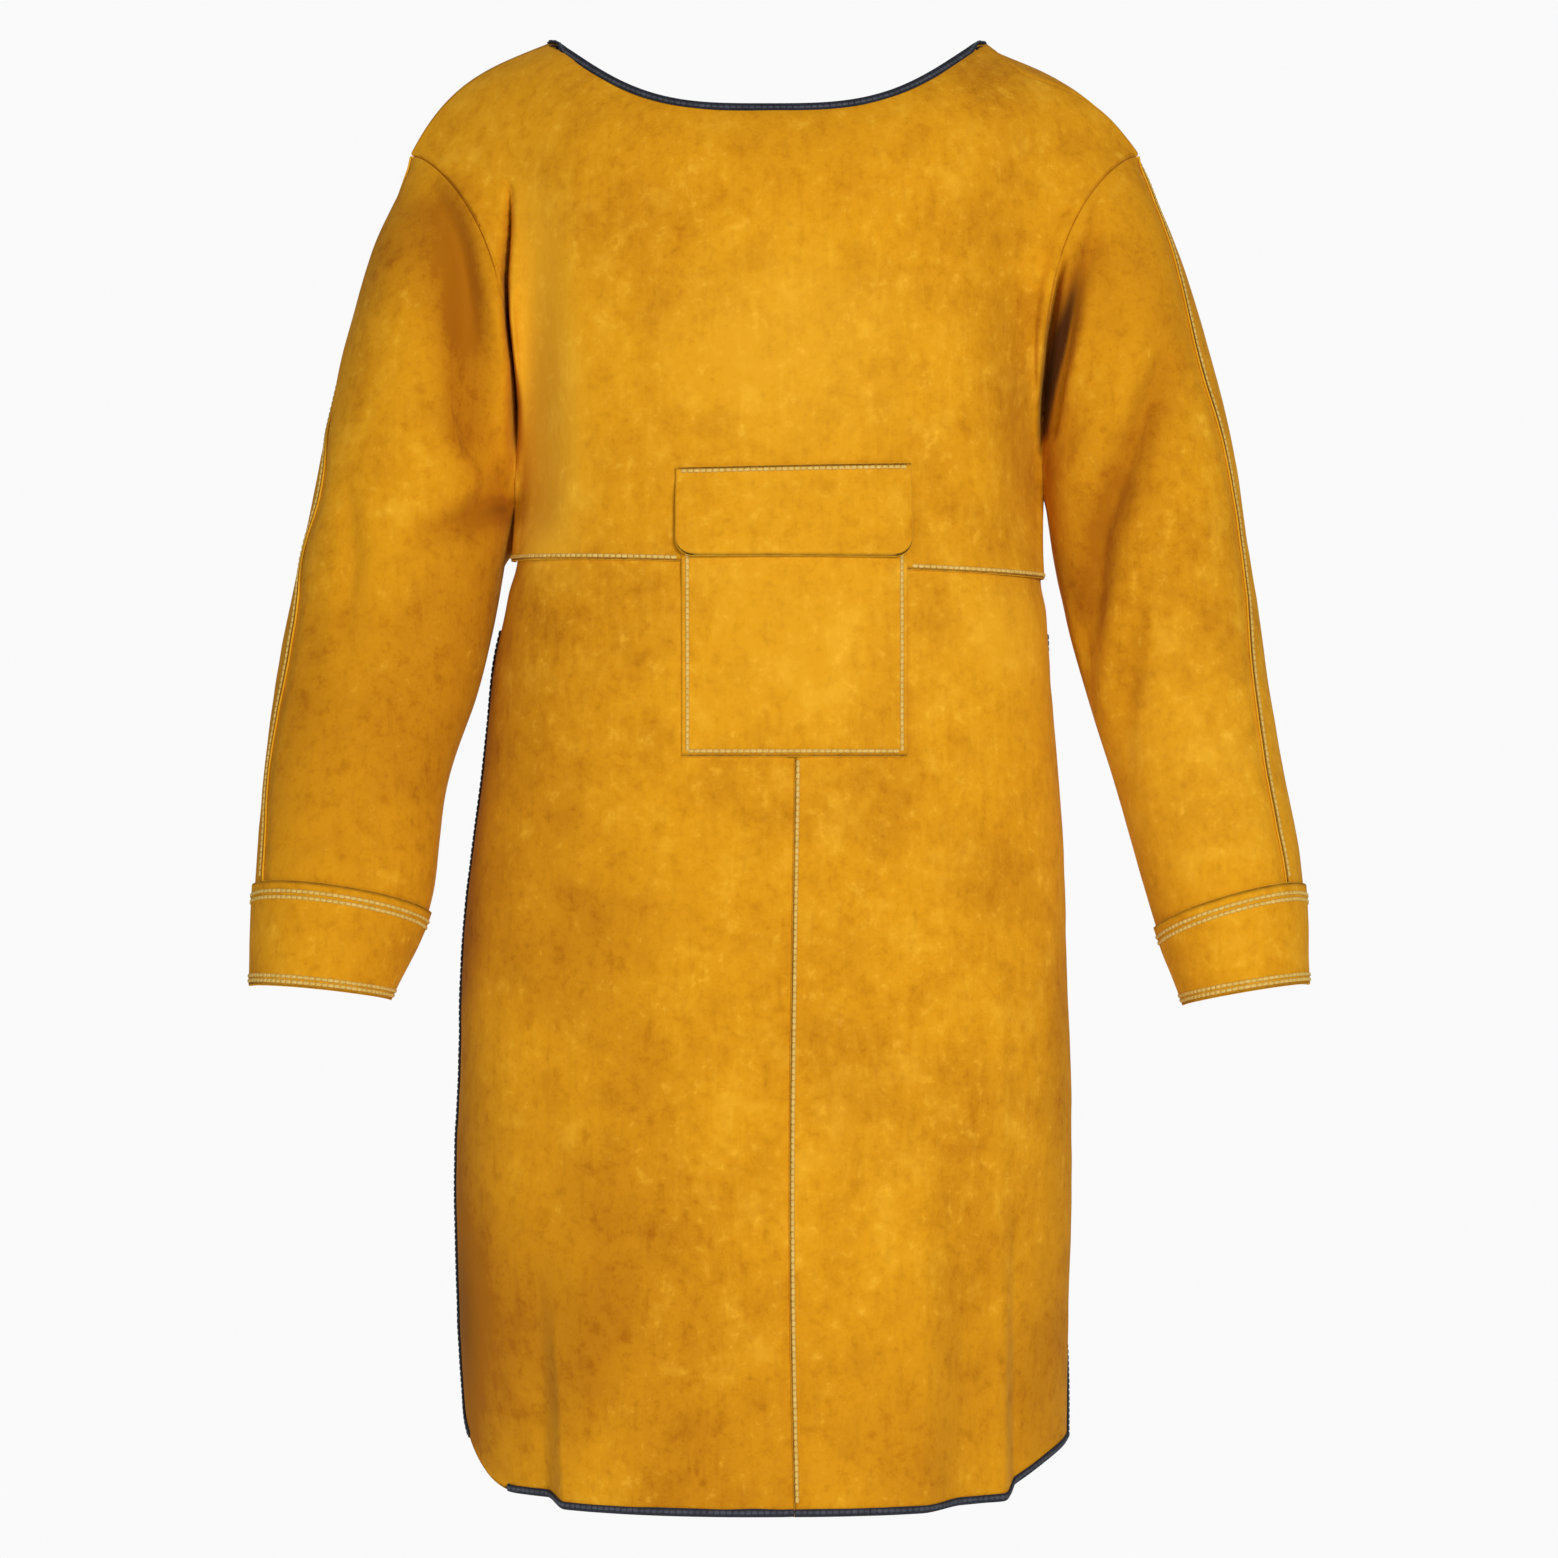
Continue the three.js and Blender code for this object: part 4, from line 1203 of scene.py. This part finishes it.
def resampled(line, step, closed=False):
    path = np.concatenate([line, line[:1]]) if closed else line
    length = distances(path)
    count = max(int(round(length[-1] / step)), 1)
    places = np.linspace(0, length[-1], count + 1)
    if closed:
        places = places[:-1]
    return np.stack([np.interp(places, length, column) for column in path.T], axis=-1)


# Stations hold the edge, the leather's outward normal and the way into the leather, side by side
def add_tape(name, stations, depth, closed=False):
    line = resampled(stations, TAPE_STEP, closed)
    edge = line[:, None, 0:3]
    up = unit(line[:, None, 3:6])
    into = unit(line[:, None, 6:9])
    section = tape_section(depth)
    sway = TAPE_SWAY * noise(line[:, 0:3] + SWAY_SHIFT, SWAY_SIZE)[:, None, None]
    reach = np.where(section[None, :, 0:1] > 1, section[None, :, 0:1] + sway, section[None, :, 0:1])
    grid = edge + into * reach + up * section[None, :, 1:2]
    rows = len(line)
    sides = len(section)
    at = np.arange(rows * sides).reshape(rows, sides)
    quads = [band_quads(at[k], at[k + 1]) for k in range(rows - 1)]
    if closed:
        quads.append(band_quads(at[-1], at[0]))
    ends = [] if closed else [at[0][::-1], at[-1]]
    piece = add_mesh(name, grid.reshape(-1, 3), np.concatenate(quads), tape_cloth, ends, TAPE_SHARP)
    return {"piece": piece, "line": line, "depth": depth}


# Runs are stretches of a panel's borders: the border, its first place and the place after its last
def edge_stations(panel, *runs):
    edge = np.concatenate([border(panel["grid"], side)[first:last] for side, first, last in runs])
    up = np.concatenate([border(panel["normals"], side)[first:last] for side, first, last in runs])
    inner = np.concatenate([into_panel(panel["grid"], side)[first:last] for side, first, last in runs])
    into = unit(np.cross(np.gradient(edge, axis=0), up))
    into = into * np.sign(np.sum(into * inner))
    return np.concatenate([edge, up, into], axis=1)


# A stitch by rings along it: where each stands and how full it is
STITCH_RINGS = np.array([(-0.5, 0.25), (-0.42, 0.8), (-0.2, 1.0), (0.2, 1.0), (0.42, 0.8), (0.5, 0.25)])
STITCH_SIDES = 6
STITCH_CAPS = np.array([[0, 1, 2, 3], [0, 3, 4, 5]])
STITCH_SINK = 0.65


def add_stitches(name, lines, material):
    turn = np.arange(STITCH_SIDES) * 2 * math.pi / STITCH_SIDES
    reach = STITCH_RINGS[None, :, None, 0:1] * STITCH_LENGTH
    full = STITCH_RINGS[None, :, None, 1:2]
    blocks = []
    quads = []
    total = 0
    for line in lines:
        even = resampled(line, STITCH_PITCH)
        middle = (even[1:, 0:3] + even[:-1, 0:3]) / 2
        along = unit(even[1:, 0:3] - even[:-1, 0:3])
        up = unit(even[1:, 3:6] + even[:-1, 3:6])
        aside = unit(np.cross(along, up))
        up = np.cross(aside, along)
        middle, along, up, aside = (rows[:, None, None, :] for rows in (middle, along, up, aside))
        circle = STITCH_WIDTH * np.cos(turn)[:, None] * aside + STITCH_HEIGHT * np.sin(turn)[:, None] * up
        shape = middle + along * reach + circle * full + up * STITCH_HEIGHT * (full - STITCH_SINK)
        at = total + np.arange(shape.size // 3).reshape(shape.shape[:3])
        after = np.roll(at, -1, axis=2)
        quads.append(np.stack([at[:, :-1], after[:, :-1], after[:, 1:], at[:, 1:]], axis=-1).reshape(-1, 4))
        quads.append(at[:, 0][:, STITCH_CAPS].reshape(-1, 4)[:, ::-1])
        quads.append(at[:, -1][:, STITCH_CAPS].reshape(-1, 4))
        blocks.append(shape.reshape(-1, 3))
        total += at.size
    piece = add_mesh(name, np.concatenate(blocks), np.concatenate(quads), material)
    return piece


# Line at a distance from a border of a panel, on its outer face, with the normals beside it
def inset(panel, side, distance, first=0, last=None):
    axis, at = BORDERS[side]
    lines = np.concatenate([panel["face"], panel["normals"]], axis=-1)
    lines = np.moveaxis(lines, axis, 0)
    lines = lines if at == 0 else lines[::-1]
    found = []
    for path in np.moveaxis(lines, 1, 0)[first:last]:
        length = distances(path)
        found.append([np.interp(distance, length, column) for column in path.T])
    return np.array(found)


def between(line, axis, low, high):
    return line[(line[:, axis] > low) & (line[:, axis] < high)]


# Black tape on the free edges
TAPE_DEPTH = {"neck": 6.0, "hem": 4.4, "side": 5.0, "yoke": 7.0}
NECK_CENTRE = np.array([(NECK_X["right"] + NECK_X["left"]) / 2, 0.0, 0.0])
NECK_POINT_RISE = 0.4
YOKE_TAPE_INSET = 3


def neck_stations():
    in_neck = EXTRA + np.flatnonzero(ON_SHOULDER == 0)
    front = np.concatenate([bib["grid"][0], bib["normals"][2]], axis=1)[in_neck]
    back = np.concatenate([yoke["grid"][0], yoke["normals"][2]], axis=1)[in_neck][::-1]
    corners = []
    for s in (NECK_LEFT, NECK_RIGHT):
        column = np.argmin(np.abs(UPPER_COLUMNS - s))
        up = unit(bib_normals[1, column] + yoke_normals[1, column])
        corners.append(np.concatenate([bib_flat[0, column] + up * NECK_POINT_RISE, up])[None, :])
    loop = np.concatenate([front, corners[0], back, corners[1]])
    tangent = np.roll(loop[:, :3], -1, axis=0) - np.roll(loop[:, :3], 1, axis=0)
    into = unit(np.cross(tangent, loop[:, 3:6]))
    facing = np.sum(into * (loop[:, :3] - NECK_CENTRE), axis=-1, keepdims=True)
    return np.concatenate([loop, into * np.sign(np.sum(facing))], axis=1)


# First place along a border where a coordinate passes a value, upwards for x and downwards for z
def first_past(panel, side, axis, value):
    along = border(panel["grid"], side)[:, axis]
    return int(np.argmax(along > value if axis == 0 else along < value))


HEM_TAPE_START_X = -193.0
SIDE_TAPE_END_Z = -1013.0
seam_column = 1 + int(np.argmax(skirt_right["across"] > CENTRE_SEAM - 0.001))
right_top = first_past(skirt_right, "start", 2, TAPE_TOP_Z)
left_top = first_past(skirt_left, "end", 2, TAPE_TOP_Z)
tape_runs = {
    "hem_right": (skirt_right, [
        ("bottom", first_past(skirt_right, "bottom", 0, HEM_TAPE_START_X), seam_column),
    ]),
    "hem_left": (skirt_left, [("bottom", 0, None)]),
    "side_right": (skirt_right, [
        ("start", right_top, None),
        ("bottom", 1, first_past(skirt_right, "bottom", 2, SIDE_TAPE_END_Z)),
    ]),
    "side_left": (skirt_left, [("end", left_top, None)]),
    "yoke": (yoke, [("bottom", EXTRA + YOKE_TAPE_INSET, -EXTRA - YOKE_TAPE_INSET)]),
}
tapes = {"neck": add_tape("neck_tape", neck_stations(), TAPE_DEPTH["neck"], closed=True)}
for name, (panel, runs) in tape_runs.items():
    depth = TAPE_DEPTH[name.split("_")[0]]
    tapes[name] = add_tape(f"{name}_tape", edge_stations(panel, *runs), depth)

# Topstitching: how far from its edge each row of stitches runs
STITCH_INSET = {"waist": 2.4, "pocket": 3.6, "flap": 2.4, "centre": 2.0, "sleeve": 3.4, "tape": 2.2}
CUFF_STITCH_INSETS = (("top", 7.2), ("top", 11.6), ("bottom", 3.0), ("bottom", 6.6))
STITCH_RISE = 0.1
STITCH_END = 2.0
BESIDE_POCKET = 1.0
WAIST_REACH = 400.0
CENTRE_FOOT_Z = HEM_Z + 6.5
SLEEVE_STITCHED = (EXTRA + 3, -2)

waist = inset(bib, "bottom", STITCH_INSET["waist"], EXTRA, -EXTRA)
flap_top = inset(flap, "top", STITCH_INSET["flap"])
centre = inset(skirt_left, "start", STITCH_INSET["centre"])
beside = STITCH_INSET["pocket"]
pocket_height = (POCKET["bottom"] + beside, POCKET["top"] - STITCH_END)
stitch_lines = {
    "waist": [
        between(waist, 0, -WAIST_REACH, POCKET["right"] - BESIDE_POCKET),
        between(waist, 0, POCKET["left"] + BESIDE_POCKET, WAIST_REACH),
    ],
    "pocket": [
        between(inset(pocket, "start", beside), 2, *pocket_height),
        between(inset(pocket, "bottom", beside), 0, POCKET["right"] + beside, POCKET["left"] - beside),
        between(inset(pocket, "end", beside), 2, *pocket_height),
    ],
    "flap": [between(flap_top, 0, FLAP["right"] + STITCH_END, FLAP["left"] - STITCH_END)],
    "centre": [between(centre, 2, CENTRE_FOOT_Z, POCKET["bottom"] + BESIDE_POCKET)],
}
stitches = {}
for name, lines in stitch_lines.items():
    stitches[name] = add_stitches(f"{name}_stitches", lines, thread_pale)
for name, parts in sleeves.items():
    seam = inset(parts["back"], "start", STITCH_INSET["sleeve"], *SLEEVE_STITCHED)
    parts["seam_stitches"] = add_stitches(f"sleeve_stitches_{name}", [seam], thread_pale)
    rings = [inset(parts["cuff"], side, distance) for side, distance in CUFF_STITCH_INSETS]
    rings = [np.concatenate([ring, ring[:1]]) for ring in rings]
    parts["cuff_stitches"] = add_stitches(f"cuff_stitches_{name}", rings, thread_pale)
tape_lines = []
for tape in tapes.values():
    line = tape["line"]
    up = unit(line[:, 3:6])
    into = unit(line[:, 6:9]) * (tape["depth"] - STITCH_INSET["tape"])
    place = line[:, 0:3] + into + up * (TAPE_OUTSIDE + STITCH_RISE)
    tape_lines.append(np.concatenate([place, up], axis=1))
tape_stitches = add_stitches("tape_stitches", tape_lines, thread_dark)

# The solid that each tape stands for: the tape hem_right is the node hem_binding_right
for name, tape in tapes.items():
    edge, *side = name.split("_")
    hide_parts("_".join([edge, "binding", *side]))

# The solid that each panel stands for, and what is sewn to the panel
panels = {
    "bib": (bib["piece"], [stitches["waist"], tapes["neck"]["piece"]]),
    "back_yoke": (yoke["piece"], [tapes["yoke"]["piece"]]),
    "skirt_right": (skirt_right["piece"], [tapes["hem_right"]["piece"], tapes["side_right"]["piece"]]),
    "skirt_left": (skirt_left["piece"], [
        stitches["centre"], tapes["hem_left"]["piece"], tapes["side_left"]["piece"], tape_stitches,
    ]),
    "pocket": (pocket["piece"], [stitches["pocket"]]),
    "pocket_flap": (flap["piece"], [stitches["flap"]]),
}
for name, parts in sleeves.items():
    panels[f"sleeve_front_{name}"] = (parts["front"]["piece"], [])
    panels[f"sleeve_back_{name}"] = (parts["back"]["piece"], [parts["seam_stitches"]])
    panels[f"cuff_{name}"] = (parts["cuff"]["piece"], [parts["cuff_stitches"]])
for name, (piece, trim) in panels.items():
    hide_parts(name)

# Camera, light and floor
camera_data = bpy.data.cameras.new("front_camera")
camera_data.sensor_width = CAMERA_SENSOR
camera_data.sensor_fit = "HORIZONTAL"
camera_data.lens = CAMERA_SENSOR * -CAMERA_AT[1] / FRAME_WIDTH
camera = bpy.data.objects.new("front_camera", camera_data)
camera.location = CAMERA_AT
camera.rotation_euler = (math.pi / 2, 0, 0)
bpy.context.scene.collection.objects.link(camera)
bpy.context.scene.camera = camera
bpy.context.scene.view_settings.view_transform = "Standard"

# Lights: name, place, what they shine on, size and power
LIGHTS = [
    ("key_light", (1.05, -3.0, 0.35), (0, 0, -0.45), 1.1, 72.0),
    ("fill_light", (-2.4, -2.3, -0.3), (0, 0, -0.5), 1.6, 19.0),
    ("back_light", (0.3, 3.2, 0.6), (0, 0, -0.5), 1.8, 48.0),
]
for name, place, target, size, power in LIGHTS:
    data = bpy.data.lights.new(name, "AREA")
    data.shape = "DISK"
    data.size = size
    data.energy = power
    light = bpy.data.objects.new(name, data)
    light.location = place
    away = np.array(place) - np.array(target)
    tilt = math.acos(away[2] / np.linalg.norm(away))
    light.rotation_euler = (tilt, 0, math.atan2(away[1], away[0]) + math.pi / 2)
    bpy.context.scene.collection.objects.link(light)

# The world lights softly, and shows as a pale backdrop
WHITE = (1, 1, 1, 1)
SOFT_LIGHT = 0.32
BACKDROP_LIGHT = 0.955
world = bpy.data.worlds.new("studio")
world.use_nodes = True
bpy.context.scene.world = world
tree = world.node_tree
soft = tree.nodes["Background"]
soft.inputs["Color"].default_value = WHITE
soft.inputs["Strength"].default_value = SOFT_LIGHT
backdrop = add_node(tree, "ShaderNodeBackground", {"Color": WHITE, "Strength": BACKDROP_LIGHT})
seen = add_node(tree, "ShaderNodeLightPath").outputs["Is Camera Ray"]
mixed = add_node(tree, "ShaderNodeMixShader", {0: seen, 1: soft.outputs[0], 2: backdrop.outputs[0]})
tree.links.new(mixed.outputs[0], tree.nodes["World Output"].inputs["Surface"])

FLOOR_Z = -1450.0
FLOOR_RADIUS = 1850.0
FLOOR_SIDES = 96
FLOOR_DARK = (0.84, 0.84, 0.83, 1)
FLOOR_LIGHT = (0.9, 0.9, 0.89, 1)
FLOOR_GLOW = 0.25
floor_material, tree, shader = new_material("floor_pale")
grain = noise_value(tree, place_of(tree), 9, 4)
tree.links.new(mix_colour(tree, grain, FLOOR_DARK, FLOOR_LIGHT), shader.inputs["Base Color"])
shader.inputs["Roughness"].default_value = 0.9
shader.inputs["Emission Color"].default_value = WHITE
shader.inputs["Emission Strength"].default_value = FLOOR_GLOW
turn = np.linspace(0, 2 * math.pi, FLOOR_SIDES + 1)[:-1]
rim = points(FLOOR_RADIUS * np.cos(turn), FLOOR_RADIUS * np.sin(turn), FLOOR_Z) * MM
floor_mesh = bpy.data.meshes.new("floor")
floor_mesh.from_pydata(rim.tolist(), [], [list(range(len(rim)))])
floor_mesh.materials.append(floor_material)
floor = bpy.data.objects.new("floor", floor_mesh)
bpy.context.scene.collection.objects.link(floor)
